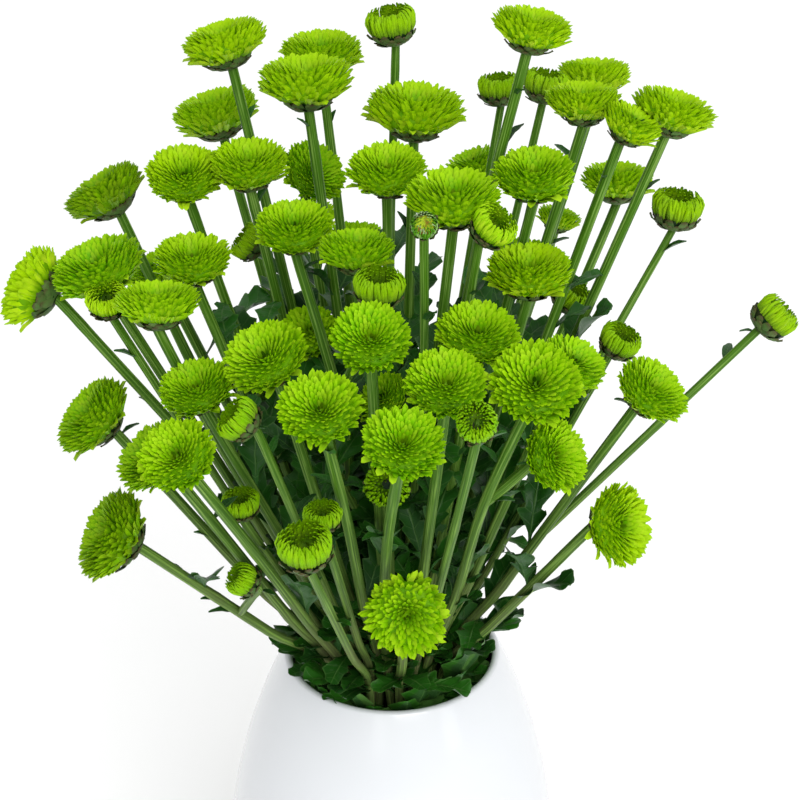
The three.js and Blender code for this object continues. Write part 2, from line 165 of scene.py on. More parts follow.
# Neighbouring heads that are pressed into each other.
PRESSED = [("a2", "a3"), ("a5", "b1"), ("f2", "f4", "f5"), ("j3", "j4")]

# The true leaves: stem, height on it, bearing, rise above level, length.
LEAVES = [
    ("a7", 340, 20, 60, 42), ("b4", 208, -100, 45, 34), ("b5", 270, -80, 60, 34),
    ("c1", 256, -100, 78, 42), ("c4", 222, -140, 60, 42), ("c5", 208, -120, 45, 34),
    ("c6", 208, -160, 45, 34), ("d1", 208, -20, 30, 34), ("d2", 300, -100, 78, 34),
    ("d3", 208, -120, 45, 34), ("d6", 285, -120, 78, 34), ("e3", 208, -40, 60, 34),
    ("e3", 256, -40, 60, 42), ("e3", 270, -120, 78, 34), ("e4", 256, -80, 78, 42),
    ("e6", 214, -20, 60, 42), ("f5", 340, -20, 78, 42), ("h2", 244, -20, 78, 34),
    ("h3", 340, 140, 60, 34), ("i3", 340, 60, 78, 34),
]
LEAF_BEND = 40.0
# The lobed blade is this much longer than the plain one, to cover it.
LOBED_SCALE = 1.02

# A head with loose pointed florets round its rim.
RAGGED = ("d1",)
# Heads with painted shade, those on the left of the bunch, and by how much; and the heads
# painted brightest, a painted light.
SHADED_HEADS = {"a1": 0.9, "b5": 0.9, "b4": 0.5, "a5": 0.2, "b7": 0.6}
BRIGHT_HEADS = ("e3", "e5", "f2", "a4")
# A bud still in its pale scales, and the mark that says so.
PALE_BUD = "j7"
SCALY_MARK = 2.0


# -------- laying out the bunch

def ways(angle):
    """Unit vectors at angles about the upright axis: outward, and a quarter turn on."""
    level = np.zeros_like(angle)
    return (np.stack([np.cos(angle), np.sin(angle), level], -1),
            np.stack([-np.sin(angle), np.cos(angle), level], -1))


class Bunch:
    """Arrays over all the heads, in the order of SPRAYS, and the settled knots of their stems."""

    def __init__(self):
        rows = [(letter, k, row) for letter, heads in SPRAYS.items() for k, row in enumerate(heads)]
        self.names = [f"{letter}{k + 1}" for letter, k, _ in rows]
        self.index = {name: i for i, name in enumerate(self.names)}
        self.spray = np.array([letter for letter, _, _ in rows])
        self.form = np.array([row[4] for _, _, row in rows])
        self.centre = np.array([row[:3] for _, _, row in rows], float)
        self.width = np.array([row[3] for _, _, row in rows], float)
        lean, turn = np.radians([row[5:7] for _, _, row in rows]).T[..., None]
        self.facing = ways(turn[:, 0])[0] * np.sin(lean) + UP * np.cos(lean)
        drop = self.width * np.array([CENTRE[form] for form in self.form])
        self.seat = self.centre - self.facing * drop[:, None]
        self.neck = self.seat - self.facing * NECK
        large = np.isin(self.form, ("open", "small"))
        self.radius = np.where(large, STEM_RADIUS, SMALL_STEM_RADIUS)
        self.loose = large | np.isin(self.names, [name for names in PRESSED for name in names])
        self.parent = np.array([
            self.index[f"{letter}1"] + row[7] if row[7:] else -1 for letter, _, row in rows])
        self.fork = np.array([row[8] if row[7:] else VASE_HEIGHT for _, _, row in rows], float)
        self.calyx = self.width * np.array([CALYX[form] for form in self.form])
        self.knots = settle_stems(self, spread_in_mouth(self))
        self.mains = {letter: self.main_line(letter) for letter in SPRAYS}

    def rooted(self, letter):
        """The side stems of a spray that leave its main stem."""
        return np.flatnonzero((self.spray == letter) & (self.parent < 0))

    def main_line(self, letter):
        """Foot and top of a spray's main stem: under the middle of its side stems in the mouth."""
        middle = self.knots[self.rooted(letter), 0, :2].mean(0)
        foot = np.append(middle * FOOT_SPREAD, VASE_FLOOR + SEAT_GAP)
        return foot, np.append(middle, FORK_TOP)

    def path(self, i):
        """The points that a side stem passes through, from its root to the middle of its calyx."""
        points = [self.knots[i], self.seat[i][None]]
        if self.parent[i] < 0:
            foot, top = self.mains[self.spray[i]]
            place = np.flatnonzero(self.rooted(self.spray[i]) == i)[0]
            share = (FORK_TOP - 1 - FORK_STEP * place - foot[2]) / (top[2] - foot[2])
            points.insert(0, (foot + (top - foot) * share)[None])
        return np.concatenate(points)


def spread_in_mouth(bunch):
    """Each stem's place in the mouth: its neck seen from the focus, pulled inside the reach,
    then moved away from the others, by a share of what each gap lacks, to an even spacing."""
    free = bunch.parent < 0
    neck = bunch.neck[free]
    share = (VASE_HEIGHT - FOCUS) / (neck[:, 2] - FOCUS)
    reach = np.hypot(neck[:, 0], neck[:, 1]) * share
    place = neck[:, :2] * (share / (1 + (reach / MOUTH_REACH) ** 4) ** 0.25)[:, None]
    for _ in range(SPREAD_ROUNDS):
        apart = place[:, None] - place[None]
        gap = np.linalg.norm(apart, axis=2) + np.eye(len(place)) * 1e9
        push = np.maximum(MOUTH_SPACING - gap, 0) * SPREAD_SHARE / gap
        place = place + (push[:, :, None] * apart).sum(1)
        place = place * np.minimum(1, MOUTH_REACH / np.linalg.norm(place, axis=1))[:, None]
    mouth = np.zeros((len(free), 2))
    mouth[free] = place
    return mouth


def stretch(heights, z):
    """The knot below a height on a stem, and the share of the way to the next one."""
    k = min(int(np.searchsorted(heights[1:-1], z, side="right")), 2)
    return k, (z - heights[k]) / (heights[k + 1] - heights[k])


def pushes(at, others, need, near, share):
    """The sum of the pushes on each stem at each level: a share of what each gap lacks."""
    away = at[:, :, None] - others
    gap = np.linalg.norm(away, axis=3) + 1e-9
    by = np.where(near, np.maximum(need - gap, 0) * share / gap, 0)
    return (by[..., None] * away).sum(2)


def settle_stems(bunch, mouth):
    """Four knots for each stem, from the mouth or its fork to its neck. At every level the
    stems push each other half each, and the heads push the stems, sideways; a knot moves by
    the weighted mean of the pushes on the stretches that it ends."""
    count = len(bunch.names)
    free = bunch.parent < 0
    branches = np.flatnonzero(~free)
    knots = np.zeros((count, 4, 3))
    knots[:, 0, :2] = mouth
    knots[:, 0, 2] = bunch.fork
    knots[:, 3] = bunch.neck
    thirds = np.array([1 / 3, 2 / 3])[None, :, None]

    def straight():
        return knots[:, :1] * (1 - thirds) + knots[:, 3:] * thirds

    def follow():
        for i, parent, k, t in forks:
            knots[i, 0, :2] = knots[parent, k, :2] * (1 - t) + knots[parent, k + 1, :2] * t

    knots[:, 1:3] = straight()
    forks = [
        (i, bunch.parent[i], *stretch(knots[bunch.parent[i], :, 2], bunch.fork[i]))
        for i in branches]
    follow()
    knots[branches, 1:3] = straight()[branches]
    levels = np.arange(VASE_HEIGHT, bunch.centre[:, 2].max(), LEVEL_STEP)
    parts = np.zeros((len(levels), count, 4))
    for n, z in enumerate(levels):
        for i in np.flatnonzero((z >= knots[:, 0, 2]) & (z < bunch.neck[:, 2])):
            k, t = stretch(knots[i, :, 2], z)
            parts[n, i, k:k + 2] = 1 - t, t
    here = parts.sum(2) > 0.5
    forked = np.zeros((count, count), bool)
    forked[branches, bunch.parent[branches]] = True
    same = np.eye(count, dtype=bool)
    meet = here[:, :, None] & here[:, None] & ~(forked | forked.T | same)
    depth = (bunch.width / 2 + HEAD_MARGIN) ** 2 - (levels[:, None] - bunch.centre[:, 2]) ** 2
    ball = np.sqrt(np.maximum(depth, 0))[:, None]
    bump = here[:, :, None] & (depth > 0)[:, None] & ~same
    for turn in range(SETTLE_ROUNDS):
        steps = np.diff(knots, axis=1)
        thick = bunch.radius * (np.linalg.norm(steps, axis=2) / steps[:, :, 2]).max(1)
        at = np.einsum("lik,ikc->lic", parts, knots[:, :, :2])
        push = pushes(at, at[:, None], thick[:, None] + thick + STEM_CLEARANCE, meet, 0.5)
        need = ball + (thick + STEM_CLEARANCE / 2)[:, None]
        push += pushes(at, bunch.centre[:, :2], need, bump, 1.0)
        strong = (np.linalg.norm(push, axis=2) > 1e-6).astype(float)
        weight = 1 + np.einsum("lik,li->ik", parts, strong)
        move = np.einsum("lik,lic->ikc", parts, push) / weight[..., None]
        move[:, 3] = 0
        move[branches, 0] = 0
        knots[:, :, :2] += SETTLE_SHARE * move
        if turn < STRAIGHTEN_ROUNDS:
            knots[:, 1:3, :2] += STRAIGHTEN * (straight() - knots[:, 1:3])[:, :, :2]
        far = np.maximum(np.linalg.norm(knots[:, 0, :2], axis=1), 1e-9)
        knots[free, 0, :2] *= np.minimum(1, MOUTH_REACH / far)[free, None]
        follow()
    return knots


# -------- surfaces

class Shell:
    """Points, four- and three-cornered faces, and four marks for each point."""

    def __init__(self, points, quads, tris, marks):
        self.points = points
        self.quads = quads
        self.tris = tris
        self.marks = marks

    @staticmethod
    def joined(shells):
        starts = np.cumsum([0] + [len(s.points) for s in shells[:-1]])
        return Shell(
            np.concatenate([s.points for s in shells]),
            np.concatenate([s.quads + n for s, n in zip(shells, starts)]),
            np.concatenate([s.tris + n for s, n in zip(shells, starts)]),
            np.concatenate([s.marks for s in shells]))

    def seated(self, bunch, i, lift=0.0):
        """Lifted, turned from +Z by the shortest way to where a head faces, and set on its seat."""
        facing = bunch.facing[i]
        x, y, z = np.cross(UP, facing)
        across = np.array([[0, -z, y], [z, 0, -x], [-y, x, 0]])
        turn = np.eye(3) + across + across @ across / (1 + facing[2])
        self.points = (self.points + UP * lift) @ turn.T + bunch.seat[i]
        return self


def closed_tubes(rings, feet, tips, *marks, tip_mark=None):
    """Many tubes at once, each of rings of corners that run anticlockwise as seen from its
    tip, closed by a fan to a point at either end. rings is (tubes, rings, corners, 3), and each
    mark spreads over the first three. An end point takes the mean marks of its ring; tip_mark
    is the first mark of the tips."""
    tubes, count, corners, _ = rings.shape
    values = np.zeros((tubes, count, corners, 4))
    for k, mark in enumerate(marks):
        values[..., k] = mark
    ends = values[:, [0, -1]].mean(2)
    if tip_mark is not None:
        ends[:, 1, 0] = tip_mark
    k = np.arange(corners)
    n = (k + 1) % corners
    r = np.arange(count - 1)[:, None] * corners
    quads = np.stack(np.broadcast_arrays(r + k, r + n, r + corners + n, r + corners + k), -1)
    last = (count - 1) * corners
    foot = np.full(corners, count * corners)
    tris = np.concatenate(
        [np.stack([n, k, foot], -1), np.stack([last + k, last + n, foot + 1], -1)])
    step = (count * corners + 2) * np.arange(tubes)[:, None, None]
    points = np.concatenate([rings.reshape(tubes, -1, 3), feet[:, None], tips[:, None]], 1)
    return Shell(
        points.reshape(-1, 3), (quads.reshape(-1, 4) + step).reshape(-1, 4),
        (tris + step).reshape(-1, 3),
        np.concatenate([values.reshape(tubes, -1, 4), ends], 1).reshape(-1, 4))


def turned(profile, corners, *marks, sink=0.0):
    """A profile of radii and heights turned round the upright axis and closed there, at its last
    height and, less the sink, at its first."""
    out = ways(np.linspace(0, 2 * np.pi, corners, endpoint=False))[0]
    rings = profile[:, None, :1] * out + profile[:, None, 1:] * UP
    return closed_tubes(rings[None], (profile[:1, 1:] - sink) * UP, profile[-1:, 1:] * UP, *marks)


def smooth_path(points, per_stretch):
    """A curve through the points: on each stretch a cubic whose slopes at its ends are half
    the step between the neighbours."""
    ends = np.concatenate([[2 * points[0] - points[1]], points, [2 * points[-1] - points[-2]]])
    t = np.linspace(0, 1, per_stretch, endpoint=False)[:, None]
    pieces = []
    for k in range(len(points) - 1):
        a, b, c, d = ends[k:k + 4]
        pieces.append(
            b + (c - a) * t / 2 + (a - 2.5 * b + 2 * c - d / 2) * t ** 2
            + (-a + 3 * b - 3 * c + d) * t ** 3 / 2)
    return np.concatenate(pieces + [points[-1:]])


def distance_along(path):
    """The running sum of a path's steps."""
    return np.concatenate([[0], np.cumsum(np.linalg.norm(np.diff(path, axis=0), axis=1))])


# -------- flower heads

# A head's florets by the curve that their tips lie on, from the lowest to the middle:
# [tip radius, tip height, which way the tip points, how crowded they are, root radius, root
# height, which way the floret leaves its root]. Lengths are over the head's width, and ways
# are degrees above outward. The core is how far that curve is drawn in, across and upwards, and
# the core's tier.
HEADS = {
    "open": {
        "florets": 320, "width": (0.078, 0.070, 0.053, 0.036),
        "strays": 8, "core": (0.80, 0.72, 0.4),
        "tips": [
            (0.455, 0.110, 6, 0.35, 0.215, 0.000, 2), (0.497, 0.165, 20, 0.6, 0.215, 0.000, 2),
            (0.512, 0.225, 30, 0.9, 0.210, 0.000, 6), (0.508, 0.285, 38, 1.1, 0.205, 0.010, 14),
            (0.480, 0.330, 46, 1.2, 0.205, 0.040, 26), (0.430, 0.362, 54, 1.15, 0.215, 0.100, 40),
            (0.360, 0.380, 62, 1.1, 0.190, 0.170, 50), (0.275, 0.386, 70, 1.1, 0.150, 0.205, 58),
            (0.195, 0.372, 82, 1.2, 0.100, 0.205, 66), (0.120, 0.332, 98, 1.3, 0.060, 0.175, 76),
            (0.060, 0.262, 114, 1.3, 0.025, 0.130, 86), (0.020, 0.215, 110, 1.2, 0.010, 0.100, 90)],
    },
    "small": {
        "florets": 215, "width": (0.084, 0.077, 0.060, 0.044),
        "strays": 4, "core": (0.80, 0.72, 0.4),
        "tips": [
            (0.450, 0.120, 14, 0.4, 0.215, 0.000, 4), (0.488, 0.185, 30, 0.7, 0.215, 0.000, 4),
            (0.500, 0.250, 42, 1.0, 0.210, 0.005, 8), (0.492, 0.312, 50, 1.1, 0.205, 0.015, 20),
            (0.455, 0.356, 56, 1.1, 0.215, 0.080, 40), (0.385, 0.380, 62, 1.0, 0.185, 0.150, 50),
            (0.290, 0.386, 56, 1.0, 0.130, 0.200, 58), (0.200, 0.374, 62, 1.0, 0.080, 0.210, 68),
            (0.120, 0.346, 84, 1.1, 0.040, 0.195, 80), (0.055, 0.318, 112, 1.1, 0.020, 0.175, 88),
            (0.015, 0.300, 126, 1.1, 0.008, 0.165, 90)],
    },
    "cup": {
        "florets": 170, "width": (0.074, 0.068, 0.054, 0.044),
        "strays": 0, "core": (0.78, 0.40, 1.0),
        "tips": [
            (0.440, 0.400, 100, 0.5, 0.325, 0.010, 34), (0.430, 0.470, 120, 1.0, 0.325, 0.010, 40),
            (0.390, 0.515, 144, 1.2, 0.325, 0.010, 46), (0.335, 0.520, 164, 1.2, 0.320, 0.020, 50),
            (0.280, 0.495, 178, 1.2, 0.320, 0.030, 56), (0.230, 0.445, 190, 1.1, 0.310, 0.060, 62),
            (0.185, 0.375, 196, 1.0, 0.290, 0.100, 74), (0.120, 0.310, 170, 0.9, 0.190, 0.160, 82),
            (0.040, 0.270, 120, 0.9, 0.080, 0.130, 88)],
    },
    "bud": {
        "florets": 130, "width": (0.082, 0.074, 0.058, 0.046),
        "strays": 0, "core": (0.80, 0.70, 1.0),
        "tips": [
            (0.455, 0.400, 88, 0.5, 0.340, 0.010, 40), (0.446, 0.510, 104, 0.9, 0.340, 0.010, 48),
            (0.410, 0.585, 124, 1.1, 0.340, 0.020, 54), (0.345, 0.622, 144, 1.2, 0.340, 0.040, 60),
            (0.265, 0.620, 162, 1.1, 0.330, 0.240, 76), (0.180, 0.590, 172, 1.0, 0.260, 0.360, 88),
            (0.100, 0.550, 160, 1.0, 0.160, 0.360, 90), (0.025, 0.520, 120, 1.0, 0.050, 0.340, 88)],
    },
}
# Where along a floret its rings stand, and their widths over its own, for the outer florets
# and for the plainer ones that show only their tips.
OUTER_RINGS = [(0.0, 0.62), (0.38, 0.90), (0.72, 1.0), (0.93, 0.72)]
INNER_RINGS = [(0.0, 0.80), (0.60, 1.0), (0.92, 0.72)]
OUTER_SHARE = 0.42
FLORET_CUP = 0.26
FLORET_THICKNESS = 0.20
# How long a floret keeps the way that it leaves its root, and the way that its tip points.
ROOT_PULL = 0.40
TIP_PULL = 0.38
# The tiers that a form's four widths belong to, and how loose the florets are at three tiers.
WIDTH_TIERS = (0, 0.42, 0.66, 1)
LOOSENESS = ((0, 0.3, 1), (1.0, 0.7, 0.45))
# How far a loose floret strays in each of these.
WANDER = {"reach": 0.036, "height": 0.013, "point": 9, "angle": 0.05, "twist": 0.10}
WIDTH_CHANCE = 0.12
OUTLINE_WAVE = 0.022
RAGGED_STRAYS = 30
# How far each head is turned from the last, in radians.
HEAD_TURN = 1.7
CORE_CORNERS = 18
CORE_ALONG = 0.3


def tips_spread(form, count):
    """Places along the curve of tips so that each floret has its share of the dome: the
    running sum of radius x length of the curve x crowding, cut into equal steps. Returns the
    share of the curve that lies before each floret, and the rows of the table there."""
    curve = np.array(form["tips"], float)
    knots = distance_along(curve[:, :2])
    fine = np.linspace(0, knots[-1], 400)
    rows = np.stack([np.interp(fine, knots, column) for column in curve.T])
    share = rows[0] * rows[3]
    area = np.concatenate([[0], np.cumsum((share[1:] + share[:-1]) / 2)])
    steps = np.arange(len(fine))
    at = np.interp((np.arange(count) + 0.5) / count * area[-1], area, steps)
    return at / (len(fine) - 1), [np.interp(at, steps, row) for row in rows]


def floret_head(kind, width, turn, draw, ragged=False):
    """One head's florets, standing on the origin and facing +Z. Each lies the golden angle on
    from the last, its tip on the head's curve of tips. A ragged head has more loose outer
    florets, and they are longer and browner."""
    form = HEADS[kind]
    count = form["florets"]
    tier, (tip_r, tip_h, point, _, base_r, base_h, leave) = tips_spread(form, count)
    loose = np.interp(tier, *LOOSENESS) * (1.5 if ragged else 1.0)

    def wander(what):
        return WANDER[what] * loose * draw.standard_normal(count)

    tip_r = tip_r * (1 + wander("reach"))
    tip_h = tip_h + wander("height")
    point = point + wander("point")
    angle = np.arange(count) * GOLDEN_ANGLE + turn + wander("angle")
    twist = wander("twist")
    wide = np.interp(tier, WIDTH_TIERS, form["width"]) * (0.85 if ragged else 1.0)
    wide = wide * (1 + WIDTH_CHANCE * draw.standard_normal(count))
    phase = draw.uniform(0, 2 * np.pi, 3)
    outline = np.cos(2 * angle + phase[0]) + np.cos(3 * angle + phase[1])
    tip_r = tip_r * (1 + OUTLINE_WAVE * loose * outline)
    weathered = np.clip(np.cos(angle + phase[2]), 0, 1) * np.interp(tier, [0.08, 0.34], [1, 0])
    tone = draw.uniform(0, 1, count) + draw.uniform(0.0, 0.8) * weathered
    strays = RAGGED_STRAYS if ragged else form["strays"]
    if strays:
        which = draw.choice(count // (3 if ragged else 7), strays, replace=False)
        tip_r[which] *= draw.uniform(1.03, 1.15, strays) * (0.95 if ragged else 1.0)
        tip_h[which] -= draw.uniform(0.0, 0.08, strays)
        point[which] = draw.uniform(-25, 15, strays)
        wide[which] *= draw.uniform(1.15, 1.6, strays)
        tone[which] = draw.uniform(1.1, 1.7, strays)
    rows = np.stack([
        base_r, base_h, np.radians(leave), tip_r, tip_h, np.radians(point), angle, twist, wide,
        tier, tone])
    outer = tier < OUTER_SHARE
    return Shell.joined([
        straps(rows[:, outer], width, OUTER_RINGS, False),
        straps(rows[:, ~outer], width, INNER_RINGS, True), head_core(form, width)])


def straps(rows, width, ring_table, plain):
    """Florets as closed tubes. In the upright plane of its angle, a floret's middle line is the
    cubic that leaves the root and comes to the tip the ways given; the line turns a little
    round the axis by its twist x the square of the share gone. Across, it is a trough open to
    the head's middle; a plain one has a flat face there."""
    base_r, base_h, go, tip_r, tip_h, end, angle, twist, wide, tier, tone = rows[:, :, None]
    steps, widths = np.array(ring_table).T
    reach = np.hypot(tip_r - base_r, tip_h - base_h)
    root = np.concatenate([base_r, base_h], 1)
    tip = np.concatenate([tip_r, tip_h], 1)
    first = root + ways(go[:, 0])[0][:, :2] * (ROOT_PULL * reach)
    second = tip - ways(end[:, 0])[0][:, :2] * (TIP_PULL * reach)
    pulls = np.stack([root, first, second, tip])[:, :, None]
    to_first, to_second, to_tip = np.diff(pulls, axis=0)
    s = np.append(steps, 1.0)[:, None]
    line = (pulls[0] * (1 - s) ** 3 + 3 * pulls[1] * s * (1 - s) ** 2
            + 3 * pulls[2] * s ** 2 * (1 - s) + pulls[3] * s ** 3)
    slope = 3 * to_first * (1 - s) ** 2 + 6 * to_second * s * (1 - s) + 3 * to_tip * s ** 2
    slope /= np.linalg.norm(slope, axis=2)[..., None] + 1e-9
    out, side = ways(angle + twist * s[:, 0] ** 2)
    middle = out * line[..., :1] + UP * line[..., 1:]
    # Square to the floret, towards the head's middle: its slope turned a quarter.
    inward = UP * slope[..., :1] - out * slope[..., 1:]
    half = (wide * np.append(widths, 0.0) / 2)[..., None]
    edge = inward * half * FLORET_CUP * 2
    thick = inward * half * FLORET_THICKNESS
    corners = [middle + side * half + edge, middle - thick, middle - side * half + edge]
    if not plain:
        corners.insert(0, middle + thick)
    rings = np.stack(corners, 2)[:, :-1] * width
    feet = (middle[:, 0] - inward[:, 0] * 0.01) * width
    return closed_tubes(
        rings, feet, middle[:, -1] * width, steps[:, None], tier[..., None], tone[..., None],
        tip_mark=1.0)


def head_core(form, width):
    """The closed body that the florets stand in: their curve of tips drawn in towards the
    root, turned round the head's axis."""
    *drawn_in, mark = form["core"]
    curve = np.array(form["tips"])
    profile = np.concatenate([[(curve[0, 4] * 0.9, 0.0)], curve[:, :2] * drawn_in]) * width
    return turned(profile, CORE_CORNERS, CORE_ALONG, mark)


def head_tones(bunch, draw):
    """How warm each head's green is, 0 to 1: warmer outwards by the square of its distance from
    the middle plane, with a share of chance, and warmer and lighter towards the top, a painted
    light; the brightest heads, set fully warm, are painted light too. For the heads with painted
    shade it is minus how much shade is painted on them."""
    aside = (bunch.centre[:, 0] / 100) ** 2
    high = np.clip((bunch.centre[:, 2] - 410) / 60, 0, 1)
    chance = draw.uniform(-0.2, 0.3, len(aside))
    warm = np.clip(0.15 + 0.35 * aside + 0.60 * high + chance, 0, 1)
    warm[np.isin(bunch.names, BRIGHT_HEADS)] = 1.0
    dull = np.array([SHADED_HEADS.get(name, 0.0) for name in bunch.names])
    return np.where(dull > 0, -dull, warm)


def placed_head(bunch, i, draw, tone):
    """A head's florets on its seat, turned the way it faces."""
    name = bunch.names[i]
    shell = floret_head(bunch.form[i], bunch.width[i], i * HEAD_TURN, draw, name in RAGGED)
    shell.marks[:, 3] = SCALY_MARK if name == PALE_BUD else tone[i]
    return shell.seated(bunch, i, SEAT_GAP if bunch.loose[i] else -CALYX_SINK)


# -------- calyces

# Radius and height of the calyx's bowl, over its own radius at the seat.
OPEN_BOWL = [(0.34, -0.50), (0.55, -0.40), (0.84, -0.20), (1.02, 0.02), (1.04, 0.20)]
BOWLS = {
    "open": OPEN_BOWL,
    "small": OPEN_BOWL,
    "cup": [(0.30, -0.52), (0.56, -0.42), (0.86, -0.22), (1.05, 0.04), (1.14, 0.30)],
    "bud": [(0.30, -0.52), (0.56, -0.42), (0.86, -0.22), (1.04, 0.04), (1.12, 0.34)],
}
BOWL_CORNERS = 14
# How far each calyx is turned from the last, in radians.
CALYX_TURN = 0.9
SCALE_TIERS = 3
SCALES_ROUND = 11
# Along a scale: where its rings stand and, over the calyx's radius, how far it lifts off the
# bowl and its half widths.
SCALE_STEPS = np.array([0.0, 0.4, 0.86, 1.0])
SCALE_LIFT = np.array([0.02, 0.11, 0.14, 0.10])
SCALE_HALF = np.array([0.18, 0.26, 0.17])
SCALE_THICKNESS = 0.05
# What the second mark says of a bowl and of a scale.
BOWL_MARK = 0.2
SCALE_MARK = 0.6


def calyx(kind, radius, neck_radius, turn, draw):
    """A cup on the origin, turned from its profile, with tiers of overlapping scales. A scale
    is a short blade that follows the cup and lifts off it towards its tip."""
    profile = np.array(BOWLS[kind]) * radius
    profile[0, 0] = neck_radius * 0.98
    bowl = turned(profile, BOWL_CORNERS, 0.0, BOWL_MARK, sink=0.2)
    count = SCALE_TIERS * SCALES_ROUND
    tier, place = np.divmod(np.arange(count), SCALES_ROUND)
    lie = turn + 2 * np.pi * (place + tier * 0.5) / SCALES_ROUND
    lie = lie + 0.08 * draw.standard_normal(count)
    start = 0.12 + 0.22 * tier + 0.02 * draw.standard_normal(count)
    length = 0.50 * (1 + 0.12 * draw.standard_normal(count))
    at = start[:, None] + length[:, None] * SCALE_STEPS
    shares = np.linspace(0, 1, len(profile))
    r, h = (np.interp(at, shares, column)[..., None] for column in profile.T)
    lift = np.abs(SCALE_LIFT * (1 + 0.5 * draw.standard_normal((count, 1))) * radius)
    past_bowl = np.maximum(at - 1, 0) * 0.8 * radius
    out, side = ways(lie[:, None])
    middle = out * (r + lift[..., None]) + UP * (h + past_bowl[..., None])
    body = middle[:, :-1]
    half = side * SCALE_HALF[:, None] * radius
    thick = out * SCALE_THICKNESS * radius
    corners = np.stack(
        [body + half - thick, body - thick * 1.2, body - half - thick, body + thick], 2)
    own = draw.uniform(0, 1, (count, 1, 1))
    scales = closed_tubes(
        corners, middle[:, 0] - thick[:, 0], middle[:, -1], SCALE_STEPS[:-1, None], SCALE_MARK, own,
        tip_mark=1.0)
    return Shell.joined([bowl, scales])


def placed_calyx(bunch, i, draw):
    """A calyx under its head's seat, turned the way the head faces."""
    shell = calyx(bunch.form[i], bunch.calyx[i], bunch.radius[i], i * CALYX_TURN, draw)
    return shell.seated(bunch, i)


# -------- stems

STEM_CORNERS = 15
STEM_RIBS = 5
# How far the ribs stand out, over the radius.
SIDE_RIB_HEIGHT = 0.035
MAIN_RIB_HEIGHT = 0.03
STEM_STEPS = 6
MAIN_STEPS = 9
# A stem's height is marked as a share of this.
MARK_HEIGHT = 500
# A node on a stem: how much thicker it is, and its half length as a share of the stem's.
NODE_SWELL = 0.10
NODE_LENGTH = 0.012


def stem_tube(path, radii, ribs, spread, draw):
    """A tube of rings square to a path. Each ring's first corner is carried on from the last
    ring's, so that the tube doesn't twist; the radius is 1 + ribs x cosine of five turns of the
    angle. Its marks are where the corner lies round it, times the spread, the height and a
    share of its own."""
    along = np.gradient(path, axis=0)
    along /= np.linalg.norm(along, axis=1)[:, None]
    side = np.zeros_like(path)
    at = np.array([1.0, 0, 0])
    for k, way in enumerate(along):
        at = at - way * (at @ way)
        at /= np.linalg.norm(at)
        side[k] = at
    across = np.cross(along, side)
    angle = np.linspace(0, 2 * np.pi, STEM_CORNERS, endpoint=False)
    reach = radii[:, None] * (1 + ribs * np.cos(STEM_RIBS * angle))
    rings = (path[:, None] + side[:, None] * (reach * np.cos(angle))[..., None]
             + across[:, None] * (reach * np.sin(angle))[..., None])
    return closed_tubes(
        rings[None], path[:1], path[-1:], (1 + np.cos(angle)) * spread,
        (1 + np.sin(angle)) * spread, path[:, 2:] / MARK_HEIGHT, draw.uniform(0, 1))


def side_stem(bunch, i, draw):
    """A ribbed tube through the stem's knots that ends in its calyx. Its radius swells a
    little at two nodes: a bell curve of the distance along it."""
    path = smooth_path(bunch.path(i), STEM_STEPS)[:-1]
    length = distance_along(path)
    radii = np.full(len(path), bunch.radius[i])
    for place in draw.uniform(0.45, 0.97, 2):
        radii *= 1 + NODE_SWELL * np.exp(-((length / length[-1] - place) / NODE_LENGTH) ** 2)
    radii[length > length[-1] - NECK * 0.6] *= 1.10
    if bunch.parent[i] >= 0:
        radii[0] *= 0.9
    return stem_tube(path, radii, SIDE_RIB_HEIGHT, 0.5, draw)


def main_stem(bunch, letter, draw):
    """A straight tube from the vase's floor to the top fork, thinner upwards."""
    foot, top = bunch.mains[letter]
    path = foot + (top - foot) * np.linspace(0, 1, MAIN_STEPS)[:, None]
    radii = np.linspace(MAIN_FOOT_RADIUS, MAIN_TOP_RADIUS, MAIN_STEPS)
    return stem_tube(path, radii, MAIN_RIB_HEIGHT, 0.0, draw)


# -------- leaves

# The small leaves: heights from, to and by, reach from the vase's axis at the rim, from and to,
# and how far that widens upwards, bearing (none is outward) and its spread, rise above level,
# length, how far the midrib bends and how wavy the blade is.
LEAF_ROWS = [
    (215, 370, 17, 0, 36, 0.30, None, 130, (20, 75), (22, 32), 40, 0.05),
    (212, 335, 20, 0, 34, 0.36, 90, 65, (45, 78), (32, 46), 25, 0.04),
    (200, 212, 9, 20, 60, 0.0, None, 110, (38, 76), (22, 32), 40, 0.03),
]
BARE_UNDER_HEAD = 45
# The leaves that fill the mouth: how many on each level, their reach from the vase's axis, and
# each level's height, first bearing, rise above level and how far the leaves curve up.
COLLAR_COUNT = 34
COLLAR_REACH = 47.5
COLLAR_LEVELS = (
    (184.0, 0.0, (8, 34), 45.0), (188.0, 3.5, (2, 24), 14.0), (195.0, 7.0, (-2, 18), 8.0))
# Smaller leaves that face outward: stem, height, bearing, rise, length, bend, freshness. A
# freshness of 2, on e1 and f1, is painted light: it makes these two leaves paler where they
# stand in shade.
FACING_LEAVES = [
    ("e1", 258, 72, 66, 42, 35, 2.0), ("c1", 222, -60, 80, 28, 10, 0.3),
    ("b7", 208, 150, 32, 34, 45, 0.6), ("e6", 214, 5, 40, 34, 30, 1.0),
    ("c6", 201, 195, 8, 24, -5, 1.0), ("f1", 284, 30, 60, 36, 20, 2.0),
    ("e6", 280, 70, 75, 38, 20, 0.4), ("e4", 270, 60, 70, 34, 30, 0.5),
    ("f5", 262, 80, 78, 38, 20, 0.3), ("f7", 240, 80, 78, 38, 20, 0.3),
    ("f2", 300, 90, 75, 38, 20, 0.3), ("g3", 276, 90, 78, 38, 20, 0.2),
    ("a2", 286, 90, 78, 36, 20, 0.2), ("h5", 270, 80, 78, 38, 20, 0.2),
    ("a3", 290, 110, 75, 34, 20, 0.4), ("c3", 300, 100, 75, 30, 20, 0.5),
]
